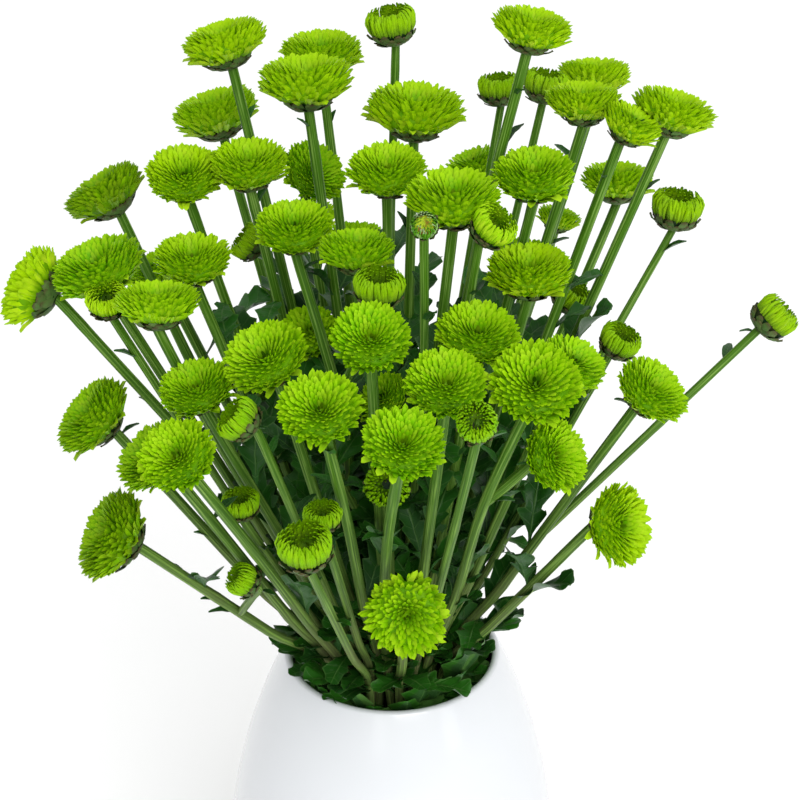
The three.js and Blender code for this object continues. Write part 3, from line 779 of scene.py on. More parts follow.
# The bracts on a stem, from its head down: how far below it, how often there is one, its length.
BRACTS = (((5, 11), 0.75, (6, 11)), ((22, 50), 0.6, (9, 17)), ((55, 95), 0.6, (9, 17)))

# Outlines: share of the length, half width over the length, how far the veins sweep forward and
# how many strips make half the blade. The lobed leaf has a stalk, two pairs of lobes and a
# toothed tip.
LOBED = {
    "t": [0, 0.06, 0.14, 0.20, 0.25, 0.30, 0.345, 0.385, 0.42, 0.455, 0.49, 0.53, 0.57, 0.61, 0.65,
          0.69, 0.73, 0.765, 0.80, 0.84, 0.88, 0.92, 0.96, 0.985],
    "half": [0.030, 0.022, 0.024, 0.040, 0.095, 0.175, 0.225, 0.205, 0.150, 0.110, 0.118, 0.185,
             0.265, 0.290, 0.262, 0.205, 0.150, 0.165, 0.200, 0.185, 0.140, 0.105, 0.060, 0.022],
    "sweep": 38, "strips": 4,
}
LOBED_SMALL = {
    "t": [0, 0.08, 0.20, 0.30, 0.37, 0.45, 0.53, 0.62, 0.70, 0.78, 0.88, 0.96],
    "half": [0.030, 0.024, 0.045, 0.165, 0.215, 0.120, 0.175, 0.275, 0.205, 0.160, 0.130, 0.050],
    "sweep": 34, "strips": 1,
}
OVAL = {
    "t": [0, 0.10, 0.24, 0.40, 0.56, 0.72, 0.86, 0.96],
    "half": [0.045, 0.06, 0.12, 0.155, 0.150, 0.115, 0.065, 0.02],
    "sweep": 20, "strips": 1,
}
BLADE_THICKNESS = 0.011
# The ripple's turns along a blade, in radians, and out to its margin.
RIPPLE_ALONG = 13
RIPPLE_OUT = 2.2
# The midrib's depth in millimetres, and its width over the half blade's.
MIDRIB_DEPTH = 0.35
MIDRIB_WIDTH = 0.12


def blades(
        root, bearing, rise, length, outline, draw,
        bend=LEAF_BEND, fold=0.22, wave=0.05, fresh=None):
    """Many leaves at once. The midrib bends down along the length. A point sits share v of the
    half width out from it, swept forward, lifted by the fold and by a wave of both shares; the
    blade is thickest at the midrib and comes to an edge at its margin."""
    count = len(length)
    t = np.array(outline["t"])
    half = np.array(outline["half"])
    bend = np.broadcast_to(bend, (count,))[:, None]

    def pitch(share):
        return np.radians(rise[:, None] - bend * share)

    def gone(part):
        steps = part(pitch((t[1:] + t[:-1]) / 2)) * np.diff(t) * length[:, None]
        return np.concatenate([np.zeros((count, 1)), np.cumsum(steps, 1)], 1)[..., None]

    out, side = ways(np.radians(bearing)[:, None])
    spine = root[:, None] + out * gone(np.cos) + UP * gone(np.sin)
    tilt = pitch(t)[..., None]
    along = out * np.cos(tilt) + UP * np.sin(tilt)
    up = UP * np.cos(tilt) - out * np.sin(tilt)
    face = 2 * outline["strips"] + 1
    v = np.concatenate([np.linspace(-1, 1, face), np.linspace(1, -1, face)[1:-1]])
    lower = np.arange(len(v)) >= face
    aside = np.abs(v)
    size = length[:, None, None]
    reach = half[:, None] * size * aside
    phase = draw.uniform(0, 2 * np.pi, (count, 1, 1))
    ripple = wave * np.sin(RIPPLE_ALONG * t[:, None] + phase + RIPPLE_OUT * v) * size
    lift = fold * reach + ripple * aside ** 1.5 * np.minimum(half / 0.12, 1)[:, None]
    midrib = MIDRIB_DEPTH * np.exp(-(aside / MIDRIB_WIDTH) ** 2)
    lift = lift - lower * (BLADE_THICKNESS * (1 - aside ** 2) * size + midrib)
    sweep = math.radians(outline["sweep"])
    rings = (spine[:, :, None]
             + side[:, :, None] * (np.sign(v) * reach * math.cos(sweep))[..., None]
             + along[:, :, None] * (reach * math.sin(sweep))[..., None]
             + up[:, :, None] * lift[..., None])
    own = draw.uniform(0, 1, (count, 1, 1)) if fresh is None else fresh[:, None, None]
    tips = spine[:, -1] + along[:, -1] * (0.02 * length)[:, None]
    return closed_tubes(
        rings[:, :, ::-1], spine[:, 0] - along[:, 0] * 0.3, tips,
        t[:, None], (v * 0.5 + 0.5)[::-1], own, lower[::-1])


def on_stem(bunch, stem, height):
    """The point of a stem's knotted line at a height; the stem is given by its name or place."""
    i = bunch.index.get(stem, stem)
    k, t = stretch(bunch.knots[i, :, 2], height)
    return bunch.knots[i, k] * (1 - t) + bunch.knots[i, k + 1] * t


def listed_leaves(bunch, table, letter, draw, scale=1.0):
    """A spray's leaves from a table whose columns past the length are bend and freshness."""
    rows = [row for row in table if row[0][0] == letter]
    if not rows:
        return []
    root = np.array([on_stem(bunch, *row[:2]) for row in rows])
    bearing, rise, length, *more = np.array([row[2:] for row in rows], float).T
    return [blades(
        root, bearing, rise, length * scale, LOBED, draw, **dict(zip(("bend", "fresh"), more)))]


def spray_leaves(bunch, letter, draw):
    """A spray's true leaves, where the part has them, and the smaller ones between them."""
    rooted = bunch.rooted(letter)
    shells = listed_leaves(bunch, LEAVES, letter, draw, LOBED_SCALE)
    shells += [row_of_leaves(bunch, rooted, row, draw) for row in LEAF_ROWS]
    shells += [collar_leaves(bunch, rooted, level, draw) for level in COLLAR_LEVELS]
    shells += listed_leaves(bunch, FACING_LEAVES, letter, draw)
    return Shell.joined([shell for shell in shells if shell])


def collar_leaves(bunch, stems, level, draw):
    """Leaves that fill the vase's mouth: at even bearings the stem that is nearest to the rim
    there bears one. It reaches out to the rim and curves up at it."""
    z, first, rises, curl = level
    rooted = np.flatnonzero(bunch.parent < 0)
    bearing = np.radians(first + np.arange(COLLAR_COUNT) * 360 / COLLAR_COUNT)
    rim = COLLAR_REACH * ways(bearing)[0][:, :2]
    at = np.array([on_stem(bunch, i, z) for i in rooted])
    near = np.linalg.norm(rim[:, None] - at[None, :, :2], axis=2).argmin(1)
    mine = np.isin(rooted[near], stems)
    count = int(mine.sum())
    if not count:
        return None
    root = at[near[mine]]
    way = rim[mine] - root[:, :2]
    turn = np.degrees(np.arctan2(way[:, 1], way[:, 0])) + draw.uniform(-12, 12, count)
    rise = draw.uniform(*rises, count)
    start, curve = np.radians(rise), math.radians(curl)
    reach = (np.sin(start + curve) - np.sin(start)) / curve
    length = np.linalg.norm(way, axis=1) / reach * draw.uniform(0.93, 1.0, count)
    return blades(
        root, turn, rise, length, LOBED_SMALL, draw, bend=-curl, wave=0.02,
        fresh=draw.uniform(0.2, 2.4, count))


def row_of_leaves(bunch, stems, row, draw):
    """One kind of small leaf, at even steps up the stems: those that come within the row's
    reach of the vase's axis, which widens upwards, each turned from the row's bearing."""
    low, high, step, inner, outer, widening, bearing, spread, rises, lengths, bend, wave = row
    places = []
    for i in stems:
        top = max(min(bunch.neck[i, 2] - BARE_UNDER_HEAD, high), low + 1)
        heights = np.arange(low, top, step)
        for z in heights + draw.uniform(0, step * 0.8, len(heights)):
            point = on_stem(bunch, i, z)
            if inner < np.hypot(*point[:2]) < outer + (z - VASE_HEIGHT) * widening:
                places.append(point)
    if not places:
        return None
    root = np.array(places)
    if bearing is None:
        bearing = np.degrees(np.arctan2(root[:, 1], root[:, 0]))
    bearing = bearing + draw.uniform(-1, 1, len(root)) * spread
    rise = draw.uniform(*rises, len(root))
    length = draw.uniform(*lengths, len(root))
    return blades(root, bearing, rise, length, LOBED_SMALL, draw, bend=bend, wave=wave)


def stem_bracts(bunch, letter, draw):
    """Narrow bract leaves on the upper stems and one or two just under most heads."""
    rows = []
    for i in np.flatnonzero(bunch.spray == letter):
        path = smooth_path(bunch.path(i), 2 * STEM_STEPS)
        length = distance_along(path)
        below = [draw.uniform(*span) for span, _, _ in BRACTS]
        for distance, (_, odds, lengths) in zip(below, BRACTS):
            if draw.uniform() > odds:
                continue
            n = int(np.searchsorted(length, length[-1] - distance))
            way = np.gradient(path, axis=0)[n]
            up = math.degrees(math.asin(way[2] / np.linalg.norm(way)))
            rows.append((
                *path[n], draw.uniform(-180, 180), min(up, 70) - draw.uniform(0, 25),
                draw.uniform(*lengths)))
    rows = np.array(rows)
    return blades(rows[:, :3], *rows[:, 3:].T, OVAL, draw, bend=35, fold=0.35, wave=0.02)


# -------- vase

VASE_SIDES = 96


def vase_radius(z):
    """A super-ellipse above and below the belly."""
    t = np.abs(z - BELLY_HEIGHT) / np.where(z > BELLY_HEIGHT, UPPER_REACH, LOWER_REACH)
    return BELLY_RADIUS * (1 - t ** VASE_CURVE) ** (1 / VASE_CURVE)


def vase_profile():
    """Radius and height from the middle of the foot, up the outside, over the rounded lip and
    down the inside to the middle of the floor."""
    tilt = math.atan(float(vase_radius(VASE_HEIGHT - 2) - vase_radius(VASE_HEIGHT - 1)))
    half = VASE_WALL / 2 * math.cos(tilt)
    up = np.linspace(4, VASE_HEIGHT - half * (1 - math.sin(tilt)), 40)
    outside = np.stack([vase_radius(up), up], -1)
    turn = tilt + np.radians(np.linspace(8, 180, 12))
    middle = outside[-1] - half * np.array([math.cos(tilt), math.sin(tilt)])
    rim = middle + half * np.stack([np.cos(turn), np.sin(turn)], -1)
    down = np.linspace(VASE_HEIGHT - 8, VASE_FLOOR + 10, 26)
    inside = np.stack([vase_radius(down) - VASE_WALL, down], -1)
    foot = float(vase_radius(0.0))
    base = [(foot * 0.5, 0.0), (foot - 2.5, 0.0), (foot - 1.2, 0.5), (foot - 0.2, 2.0)]
    floor = float(vase_radius(VASE_FLOOR)) - VASE_WALL
    bed = [(floor - 3, VASE_FLOOR + 3), (floor - 7, VASE_FLOOR + 0.4), (floor * 0.5, VASE_FLOOR)]
    return np.concatenate([base, outside, rim, inside, bed])


# -------- meshes and materials

def add_piece(name, shell, material, crease=60.0):
    """Writes a shell into a mesh in metres, with its marks as a colour attribute."""
    mesh = bpy.data.meshes.new(name)
    quads = len(shell.quads)
    tris = len(shell.tris)
    mesh.vertices.add(len(shell.points))
    mesh.vertices.foreach_set("co", (shell.points * MM).astype(np.float32).ravel())
    mesh.loops.add(quads * 4 + tris * 3)
    mesh.loops.foreach_set(
        "vertex_index", np.concatenate([shell.quads.ravel(), shell.tris.ravel()]).astype(np.int32))
    mesh.polygons.add(quads + tris)
    starts = np.concatenate([np.arange(quads) * 4, quads * 4 + np.arange(tris) * 3])
    mesh.polygons.foreach_set("loop_start", starts.astype(np.int32))
    mesh.update(calc_edges=True)
    mesh.polygons.foreach_set("use_smooth", np.ones(quads + tris, bool))
    mesh.set_sharp_from_angle(angle=math.radians(crease))
    values = mesh.attributes.new("marks", "FLOAT_COLOR", "POINT")
    values.data.foreach_set("color", shell.marks.astype(np.float32).ravel())
    mesh.materials.append(material)
    piece = bpy.data.objects.new(name, mesh)
    bpy.context.scene.collection.objects.link(piece)
    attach(piece, "root")
    return piece


class Graph:
    """Short calls that add nodes to one tree and join them."""

    def __init__(self, tree):
        self.tree = tree

    def node(self, kind, **values):
        made = self.tree.nodes.new(kind)
        for key, value in values.items():
            setattr(made, key, value)
        return made

    def link(self, value, socket):
        """Joins an output to a socket, or sets the socket to a number or a colour."""
        if isinstance(value, bpy.types.NodeSocket):
            self.tree.links.new(value, socket)
        else:
            socket.default_value = value if isinstance(value, (int, float)) else (*value, 1.0)

    def linked(self, kind, inputs, **values):
        """A node with its inputs joined or set."""
        made = self.node(kind, **values)
        for socket, value in inputs.items():
            self.link(value, made.inputs[socket])
        return made

    def maths(self, operation, *values):
        made = self.linked("ShaderNodeMath", dict(enumerate(values)), operation=operation)
        return made.outputs[0]

    def times(self, a, b):
        return self.maths("MULTIPLY", a, b)

    def mix(self, factor, a, b):
        inputs = {"Factor": factor, 6: a, 7: b}
        return self.linked("ShaderNodeMix", inputs, data_type="RGBA").outputs[2]

    def ramp(self, value, low, high, top=1.0):
        """A smooth step from none at low to the top value at high."""
        inputs = {"Value": value, "From Min": low, "From Max": high, "To Max": top}
        made = self.linked("ShaderNodeMapRange", inputs, interpolation_type="SMOOTHSTEP")
        return made.outputs["Result"]

    def marks(self):
        """The four marks of a piece's points."""
        read = self.node("ShaderNodeAttribute", attribute_name="marks", attribute_type="GEOMETRY")
        split = self.linked("ShaderNodeSeparateColor", {0: read.outputs["Color"]})
        return (*split.outputs[:3], read.outputs["Alpha"])

    def noise(self, scale, detail=2.0, vector=None, roughness=0.5):
        if vector is None:
            vector = self.node("ShaderNodeTexCoord").outputs["Object"]
        inputs = {"Scale": scale, "Detail": detail, "Roughness": roughness, "Vector": vector}
        return self.linked("ShaderNodeTexNoise", inputs).outputs[0]

    def mottled(self, base, other, scale, amount):
        inputs = {"Colour": base, "Other Colour": other, "Scale": scale, "Amount": amount}
        return self.linked("ShaderNodeGroup", inputs, node_tree=mottle_group()).outputs["Colour"]


def mottle_group():
    """A shared effect: a colour varied by a soft noise on Object coordinates."""
    found = bpy.data.node_groups.get("living_mottle")
    if found:
        return found
    group = bpy.data.node_groups.new("living_mottle", "ShaderNodeTree")
    takes = {"Colour": "Color", "Other Colour": "Color", "Scale": "Float", "Amount": "Float"}
    for name, kind in takes.items():
        group.interface.new_socket(name, in_out="INPUT", socket_type=f"NodeSocket{kind}")
    group.interface.new_socket("Colour", in_out="OUTPUT", socket_type="NodeSocketColor")
    graph = Graph(group)
    base, other, scale, amount = graph.node("NodeGroupInput").outputs[:4]
    share = graph.times(graph.ramp(graph.noise(scale, 3.0), 0.35, 0.68), amount)
    graph.linked("NodeGroupOutput", {"Colour": graph.mix(share, base, other)})
    return group


class Finish(Graph):
    """The node tree of a new material, up to its Principled shader."""

    def __init__(self, name):
        self.material = bpy.data.materials.new(name)
        self.material.use_nodes = True
        super().__init__(self.material.node_tree)

    def done(self, colour, plain, height=None, strength=0.0, distance=0.0):
        """Joins the colour and a bump of the height to the shader and sets its plain values."""
        inputs = self.tree.nodes["Principled BSDF"].inputs
        self.link(colour, inputs["Base Color"])
        for socket, value in plain.items():
            inputs[socket].default_value = value
        if height is not None:
            bump = {"Strength": strength, "Distance": distance, "Height": height}
            self.link(self.linked("ShaderNodeBump", bump).outputs["Normal"], inputs["Normal"])
        return self.material


def floret_material(name, settings, foot, pit_shade, shade):
    """Darker at a floret's root, a painted shade where the florets overlap, lime along it and paler
    at its tip; yellower on loose outer florets, greener in the middle of a head, painted shade in
    the hollow at its middle, and each head a little its own, with painted shade on some heads
    and, by the shade given, over every floret."""
    graph = Finish(name)
    along, tier, tone, head = graph.marks()
    scaly = graph.ramp(head, 1.0, SCALY_MARK)
    blotch = graph.ramp(graph.noise(330.0, 1.0), 0.46, 0.62)
    bract = graph.mix(blotch, settings.scaly, settings.pale)
    hollow = graph.mix(scaly, pit_shade, graph.mix(blotch, settings.yellow, settings.amber))
    body = graph.mix(head, settings.lime, settings.lime_warm)
    body = graph.mix(graph.ramp(tier, 0.45, 0.95), body, settings.heart)
    body = graph.mix(graph.ramp(tone, 0.2, 1.6, 0.65), body, settings.yellow)
    body = graph.mix(graph.ramp(along, 0.66, 1.0, 0.70), body, settings.tip)
    # Painted shade: by the shade given, every floret is mixed towards the root colour; the cups and
    # buds take 0.55.
    body = graph.mix(shade, body, settings.root)
    # Painted shade: each floret darkens towards its root, where the florets overlap.
    body = graph.mix(graph.ramp(along, 0.24, 0.72), foot, body)
    body = graph.mix(scaly, body, bract)
    # Painted shade: the innermost florets and a cup's core take the near-black pit colour of the
    # hollow; on a cup or bud it is the eye, partly its own darker green; the pale bud shows its own
    # yellow and amber blotches there.
    body = graph.mix(graph.ramp(tier, 0.84, 0.94, 0.92), body, hollow)
    # Painted shade: the heads listed as shaded, on the left of the bunch, are darkened towards the
    # dull colour.
    body = graph.mix(graph.ramp(head, 0.0, -1.0, 0.34), body, settings.dull)
    body = graph.mottled(body, settings.lime_warm, 160.0, 0.20)
    return graph.done(
        body, {"Roughness": 0.40, "Specular IOR Level": 0.05},
        graph.noise(900.0, 1.0), 0.25, 0.0003)


def stem_material(settings):
    """Mid-green with paler ribs that run along the stem, duller and darker low down."""
    graph = Finish("ribbed_stem")
    east, north, height, own = graph.marks()
    drawn_out = graph.linked("ShaderNodeCombineXYZ", {
        0: graph.times(east, 3.0), 1: graph.times(north, 3.0),
        2: graph.maths("MULTIPLY_ADD", own, 9.0, graph.times(height, 5.0))})
    streak = graph.noise(2.6, 3.0, drawn_out.outputs[0], 0.6)
    body = graph.mix(graph.ramp(height, 0.42, 0.80), settings.low, settings.high)
    body = graph.mix(graph.ramp(streak, 0.46, 0.66), body, settings.rib)
    body = graph.mix(graph.ramp(streak, 0.46, 0.32, 0.7), body, settings.groove)
    body = graph.mottled(body, settings.blush, 45.0, graph.ramp(height, 0.62, 0.42, 0.45))
    return graph.done(body, {"Roughness": 0.45, "Specular IOR Level": 0.12}, streak, 0.35, 0.0006)


def leaf_material(settings):
    """Dark green with a paler midrib and side veins that sweep forward from it; the underside
    is paler and greyer."""
    graph = Finish("lobed_leaf")
    along, across, own, under = graph.marks()
    out = graph.maths("ABSOLUTE", graph.maths("SUBTRACT", across, 0.5))
    side_veins = graph.ramp(graph.maths("SINE", graph.times(along, 46.0)), 0.93, 1.0, 0.5)
    vein = graph.maths("MAXIMUM", graph.ramp(out, 0.045, 0.012), side_veins)
    face = graph.mix(own, settings.dark, settings.fresh)
    face = graph.mottled(face, settings.fresh, 70.0, 0.35)
    # Above a freshness of 1 a leaf is mixed towards the vein colour: on the collar leaves a tone
    # that differs at random, on the facing leaves e1 and f1 painted light where they stand in shade.
    for share in (
            graph.ramp(own, 1.0, 2.0, 0.7), graph.times(vein, 0.55),
            graph.ramp(out, 0.43, 0.5, 0.45)):
        face = graph.mix(share, face, settings.vein)
    back = graph.mix(graph.times(vein, 0.4), settings.under, settings.vein)
    height = graph.maths("ADD", vein, graph.times(graph.noise(380.0, 2.0), 0.5))
    return graph.done(
        graph.mix(graph.ramp(under, 0.4, 0.6), face, back),
        {"Roughness": 0.36, "Specular IOR Level": 0.24}, height, 0.4, 0.0006)


def calyx_material(settings):
    """Green scales, some paler, with purple-brown rims and tips."""
    graph = Finish("calyx_scale")
    along, kind, own, _ = graph.marks()
    body = graph.mix(own, settings.scale, settings.pale_scale)
    body = graph.mix(graph.ramp(kind, 0.5, 0.3), body, settings.dark)
    edge = graph.times(graph.ramp(along, 0.45, 0.95), graph.ramp(kind, 0.3, 0.5, 0.75))
    body = graph.mottled(graph.mix(edge, body, settings.edge), settings.edge, 260.0, 0.35)
    return graph.done(
        body, {"Roughness": 0.55, "Specular IOR Level": 0.15}, graph.noise(600.0), 0.3, 0.0003)


def glaze_material(settings):
    """White gloss glaze that pools in a faint slow ripple."""
    graph = Finish("white_glaze")
    return graph.done(
        graph.mottled(settings.glaze, settings.glaze_shade, 14.0, 0.5),
        {"Roughness": 0.22, "Specular IOR Level": 0.5, "Coat Weight": 0.6, "Coat Roughness": 0.06},
        graph.noise(22.0, 1.0), 0.06, 0.001)


def water_material():
    """Clear water with a slight green tint in a slow mottle."""
    graph = Finish("vase_water")
    return graph.done(
        graph.mottled((0.80, 0.92, 0.86), (0.88, 0.96, 0.93), 20.0, 0.6),
        {"Roughness": 0.03, "IOR": 1.33, "Transmission Weight": 0.9})


def floor_material(settings):
    """A pale dull floor with a faint slow change of tone."""
    graph = Finish("pale_floor")
    tone = graph.mix(graph.noise(1.5), settings.floor, (0.93, 0.93, 0.93))
    return graph.done(tone, {"Roughness": 0.9})


# -------- settings

def paint(name, description, value):
    return bpy.props.FloatVectorProperty(
        name=name, description=description, default=value, size=3, min=0, max=1, subtype="COLOR")


def number(name, description, value, **more):
    return bpy.props.FloatProperty(name=name, description=description, default=value, **more)


def seed(description, value):
    return bpy.props.IntProperty(name="Seed", description=description, default=value, min=0)


class BunchHeadSettings(bpy.types.PropertyGroup):
    lime: paint("Lime", "A floret's colour along its length", (0.197, 0.535, 0.002))
    lime_warm: paint("Warm Lime", "The same on the warmer heads", (0.392, 0.655, 0.002))
    tip: paint("Tip", "A floret's rounded tip", (0.296, 0.530, 0.005))
    # Painted shade: the dark colour at a floret's root, where the florets overlap.
    root: paint("Root", "A floret where it leaves the head", (0.108, 0.290, 0.001))
    heart: paint("Heart", "The florets in the middle of a head", (0.090, 0.320, 0.001))
    # Painted shade in the hollow in the middle of an open head.
    pit_shade: paint("Pit", "The hollow in the middle of a head", (0.006, 0.040, 0.001))
    # Partly the cup's own colour next to the calyx, partly painted shade on its underside.
    young: paint("Young Floret", "A cup's florets next to the calyx", (0.110, 0.230, 0.012))
    # Partly the bud's own darker green, partly painted shade in the cup's hollow.
    eye: paint("Eye", "The unopened middle of a cup or bud", (0.045, 0.120, 0.002))
    yellow: paint("Yellow", "The loose outer florets", (0.480, 0.600, 0.030))
    # Painted shade: the colour that darkens the heads on the left of the bunch.
    dull: paint("Dull", "What darkens the heads that are past their best", (0.030, 0.045, 0.001))
    scaly: paint("Bud Scales", "The bud that is still in its scales", (0.070, 0.260, 0.012))
    pale: paint("Pale Blotches", "Pale blotches on that bud's scales", (0.340, 0.480, 0.230))
    amber: paint("Amber", "Blotches in the middle of that bud", (0.300, 0.150, 0.012))
    seed: seed("Which draw the florets take", 7)


class BunchGreenSettings(bpy.types.PropertyGroup):
    low: paint("Lower Stem", "The stems near the vase", (0.090, 0.150, 0.035))
    high: paint("Upper Stem", "The stems under the heads", (0.050, 0.150, 0.003))
    rib: paint("Rib", "The raised ribs along a stem", (0.190, 0.330, 0.060))
    groove: paint("Groove", "The furrows between the ribs", (0.022, 0.070, 0.004))
    blush: paint("Blush", "Duller patches on the stems", (0.130, 0.095, 0.065))
    dark: paint("Leaf", "The older leaves", (0.004, 0.026, 0.005))
    fresh: paint("Fresh Leaf", "The younger leaves", (0.022, 0.125, 0.008))
    vein: paint("Vein", "Midrib and side veins", (0.090, 0.200, 0.045))
    under: paint("Underside", "A leaf's lower face", (0.030, 0.095, 0.022))
    scale: paint("Scale", "The calyx scales", (0.035, 0.095, 0.015))
    pale_scale: paint("Pale Scale", "The paler calyx scales", (0.110, 0.210, 0.050))
    edge: paint("Scale Edge", "The tips of the calyx scales", (0.075, 0.042, 0.022))
    seed: seed("Which draw the leaves take", 11)


class BunchVaseSettings(bpy.types.PropertyGroup):
    glaze: paint("Glaze", "The vase's glaze", (0.660, 0.678, 0.705))
    glaze_shade: paint("Glaze Shade", "The glaze where it lies thicker", (0.648, 0.667, 0.695))


class BunchStageSettings(bpy.types.PropertyGroup):
    floor: paint("Floor", "The pale floor", (0.96, 0.96, 0.96))
    key: number("Key Light", "Power of the large soft light", 30, min=0, unit="POWER")
    window: number(
        "Windows", "Power of each small light that shows in the glaze", 0.7, min=0, unit="POWER")
    sun: number("Far Light", "Strength of the even light from above", 0.6, min=0)
    sky: number("Surround", "Strength of the white surround", 1.0, min=0)
    dim: number("Dim Side", "The surround's left side, over its right side", 0.70, min=0, max=1)
    lens: number("Lens", "The camera's focal length, in millimetres", 81, min=10)
    back: number(
        "Camera Distance", "How far in front of the vase it stands", 0.69575, unit="LENGTH")
    height: number("Camera Height", "How high above the floor it stands", 0.7105, unit="LENGTH")
    pitch: number(
        "Camera Pitch", "How far below level it looks", math.radians(28.20), subtype="ANGLE")


class BunchSettings(bpy.types.PropertyGroup):
    heads: bpy.props.PointerProperty(type=BunchHeadSettings)
    greens: bpy.props.PointerProperty(type=BunchGreenSettings)
    vase: bpy.props.PointerProperty(type=BunchVaseSettings)
    stage: bpy.props.PointerProperty(type=BunchStageSettings)


# -------- operators

laid_out = []


def the_bunch():
    """The laid-out bunch, worked out once."""
    if not laid_out:
        laid_out.append(Bunch())
    return laid_out[0]


class BUNCH_OT_vase(bpy.types.Operator):
    """The glazed vase, turned from its profile, and the water inside it"""
    bl_idname = "bunch.vase"
    bl_label = "Vase and Water"

    def execute(self, context):
        glaze = glaze_material(context.scene.bunch.vase)
        vase = add_piece("vase_glazed", turned(vase_profile(), VASE_SIDES), glaze, 80)
        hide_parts("vase")
        water = frame["nodes"]["water"]
        water.data.materials.clear()
        water.data.materials.append(water_material())
        return {"FINISHED"}


class BUNCH_OT_stems(bpy.types.Operator):
    """The ribbed stems of each spray with their calyces"""
    bl_idname = "bunch.stems"
    bl_label = "Stems"

    def execute(self, context):
        settings = context.scene.bunch.greens
        bunch = the_bunch()
        draw = np.random.default_rng(settings.seed)
        green, scaly = stem_material(settings), calyx_material(settings)
        for letter in SPRAYS:
            members = np.flatnonzero(bunch.spray == letter)
            tubes = [main_stem(bunch, letter, draw)] + [side_stem(bunch, i, draw) for i in members]
            stems = add_piece(f"stems_{letter}", Shell.joined(tubes), green, 70)
            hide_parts(f"spray_{letter}_stems")
            cups = [placed_calyx(bunch, i, draw) for i in members]
            add_piece(f"calyces_{letter}", Shell.joined(cups), scaly, 55)
        return {"FINISHED"}


class BUNCH_OT_leaves(bpy.types.Operator):
    """The lobed leaves and the small bract leaves of each spray"""
    bl_idname = "bunch.leaves"
    bl_label = "Leaves"

    def execute(self, context):
        settings = context.scene.bunch.greens
        bunch = the_bunch()
        draw = np.random.default_rng(settings.seed + 1)
        material = leaf_material(settings)
        for letter in SPRAYS:
            for name, made in (("leaves", spray_leaves), ("bracts", stem_bracts)):
                add_piece(f"{name}_{letter}", made(bunch, letter, draw), material, 70)
        return {"FINISHED"}


class BUNCH_OT_heads(bpy.types.Operator):
    """The open pompon heads, each floret by floret, single or pressed together"""
    bl_idname = "bunch.heads"
    bl_label = "Open Heads"

    def execute(self, context):
        settings = context.scene.bunch.heads
        bunch = the_bunch()
        material = floret_material("lime_floret", settings, settings.root, settings.pit_shade, 0.0)
        draw = np.random.default_rng(settings.seed)
        tone = head_tones(bunch, draw)
        pressed = {names[0]: names for names in PRESSED}
        others = [name for names in PRESSED for name in names[1:]]
        for i in np.flatnonzero(bunch.loose & ~np.isin(bunch.names, others)):
            together = pressed.get(bunch.names[i], (bunch.names[i],))
            shells = [placed_head(bunch, bunch.index[name], draw, tone) for name in together]
            label = "_".join(together)
            piece = add_piece(f"florets_{label}", Shell.joined(shells), material)
            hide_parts(f"head_{label}")
        return {"FINISHED"}


class BUNCH_OT_half_open(bpy.types.Operator):
    """The half-open cups and the buds, one piece for each spray"""
    bl_idname = "bunch.half_open"
    bl_label = "Cups and Buds"

    def execute(self, context):
        settings = context.scene.bunch.heads
        bunch = the_bunch()
        # The cups and buds: 0.55 of painted shade over every floret, against the key light that
        # falls full on them.
        material = floret_material("young_floret", settings, settings.young, settings.eye, 0.55)
        draw = np.random.default_rng(settings.seed + 1)
        tone = head_tones(bunch, draw)
        for letter in SPRAYS:
            members = np.flatnonzero((bunch.spray == letter) & ~bunch.loose)
            if len(members):
                shells = [placed_head(bunch, i, draw, tone) for i in members]
                add_piece(f"half_open_{letter}", Shell.joined(shells), material)
        return {"FINISHED"}


FLOOR_REACH = 9.0
# The area lights: which setting is their power, how wide they are and where they stand. They
# face a point this high in the bunch.
LIGHTS = {
    "key": ("key", 1.5, (0.8, -2.4, 1.7)),
    "window_left": ("window", 0.5, (-0.45, -2.3, 0.62)),
    "window_right": ("window", 0.5, (1.55, -1.2, 0.42)),
}
LIGHTS_AIM = 0.3
SUN_SPREAD = math.radians(70)
SUN_TURN = (math.radians(30), math.radians(4), 0)
CAMERA_SHIFT = 0.01


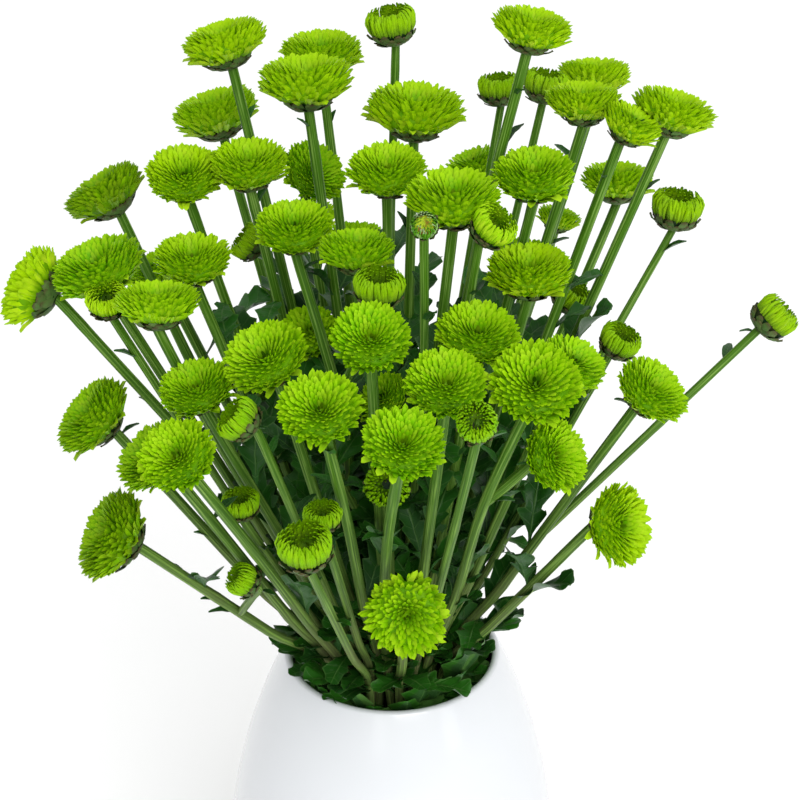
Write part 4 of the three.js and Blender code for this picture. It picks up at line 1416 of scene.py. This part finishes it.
class BUNCH_OT_stage(bpy.types.Operator):
    """The pale floor, the soft lights and the camera"""
    bl_idname = "bunch.stage"
    bl_label = "Stage"

    def execute(self, context):
        settings = context.scene.bunch.stage
        scene = context.scene
        sheet = bpy.data.meshes.new("floor")
        far = FLOOR_REACH
        corners = [(-far, -far, 0), (far, -far, 0), (far, far, 0), (-far, far, 0)]
        sheet.from_pydata(corners, [], [(0, 1, 2, 3)])
        sheet.materials.append(floor_material(settings))
        floor = self.stand("floor", sheet)
        self.surround(scene, settings)
        for name, (power, size, place) in LIGHTS.items():
            light = bpy.data.lights.new(name, "AREA")
            light.energy = getattr(settings, power)
            light.size = size
            x, y, z = np.array([0, 0, LIGHTS_AIM]) - place
            rise = math.atan2(z, math.hypot(x, y))
            self.stand(name, light, place, (math.pi / 2 + rise, 0, math.atan2(y, x) - math.pi / 2))
        sun = bpy.data.lights.new("sun", "SUN")
        sun.energy = settings.sun
        sun.angle = SUN_SPREAD
        self.stand("sun", sun, turn=SUN_TURN)
        camera = bpy.data.cameras.new("camera")
        camera.sensor_width = 36
        camera.lens = settings.lens
        camera.shift_x = CAMERA_SHIFT
        camera.clip_end = 50
        place = (0, -settings.back, settings.height)
        scene.camera = self.stand("camera", camera, place, (math.pi / 2 - settings.pitch, 0, 0))
        scene.view_settings.view_transform = "Standard"
        return {"FINISHED"}

    @staticmethod
    def stand(name, data, place=(0, 0, 0), turn=(0, 0, 0)):
        """A part of the stage, set in its place and turned."""
        made = bpy.data.objects.new(name, data)
        made.location = place
        made.rotation_euler = turn
        bpy.context.scene.collection.objects.link(made)
        return made

    @staticmethod
    def surround(scene, settings):
        """A white surround that is dimmer on its left side."""
        world = bpy.data.worlds.new("surround")
        world.use_nodes = True
        graph = Graph(world.node_tree)
        way = graph.node("ShaderNodeTexCoord").outputs["Generated"]
        across = graph.linked("ShaderNodeSeparateXYZ", {0: way}).outputs[0]
        tone = graph.mix(graph.ramp(across, -0.9, 0.3), (settings.dim,) * 3, (1.0, 1.0, 1.0))
        background = world.node_tree.nodes["Background"].inputs
        graph.link(tone, background["Color"])
        background["Strength"].default_value = settings.sky
        scene.world = world


class BUNCH_PT_panel(bpy.types.Panel):
    """The bunch's pieces, one button each"""
    bl_idname = "BUNCH_PT_panel"
    bl_label = "Pompon Bunch"
    bl_space_type = "VIEW_3D"
    bl_region_type = "UI"
    bl_category = "Bunch"

    def draw(self, context):
        settings = context.scene.bunch
        for operator in OPERATORS:
            self.layout.operator(operator.bl_idname)
        for group in (settings.heads, settings.greens, settings.vase, settings.stage):
            box = self.layout.box()
            for name in group.__annotations__:
                box.prop(group, name)


OPERATORS = (
    BUNCH_OT_vase, BUNCH_OT_stems, BUNCH_OT_leaves, BUNCH_OT_heads, BUNCH_OT_half_open,
    BUNCH_OT_stage)
CLASSES = (
    BunchHeadSettings, BunchGreenSettings, BunchVaseSettings, BunchStageSettings, BunchSettings,
    *OPERATORS, BUNCH_PT_panel)


def register():
    for kind in CLASSES:
        bpy.utils.register_class(kind)
    bpy.types.Scene.bunch = bpy.props.PointerProperty(type=BunchSettings)


def unregister():
    del bpy.types.Scene.bunch
    for kind in reversed(CLASSES):
        bpy.utils.unregister_class(kind)


def main():
    register()
    bpy.ops.bunch.vase()
    bpy.ops.bunch.stems()
    bpy.ops.bunch.leaves()
    bpy.ops.bunch.heads()
    bpy.ops.bunch.half_open()
    bpy.ops.bunch.stage()


if __name__ == "__main__":
    main()
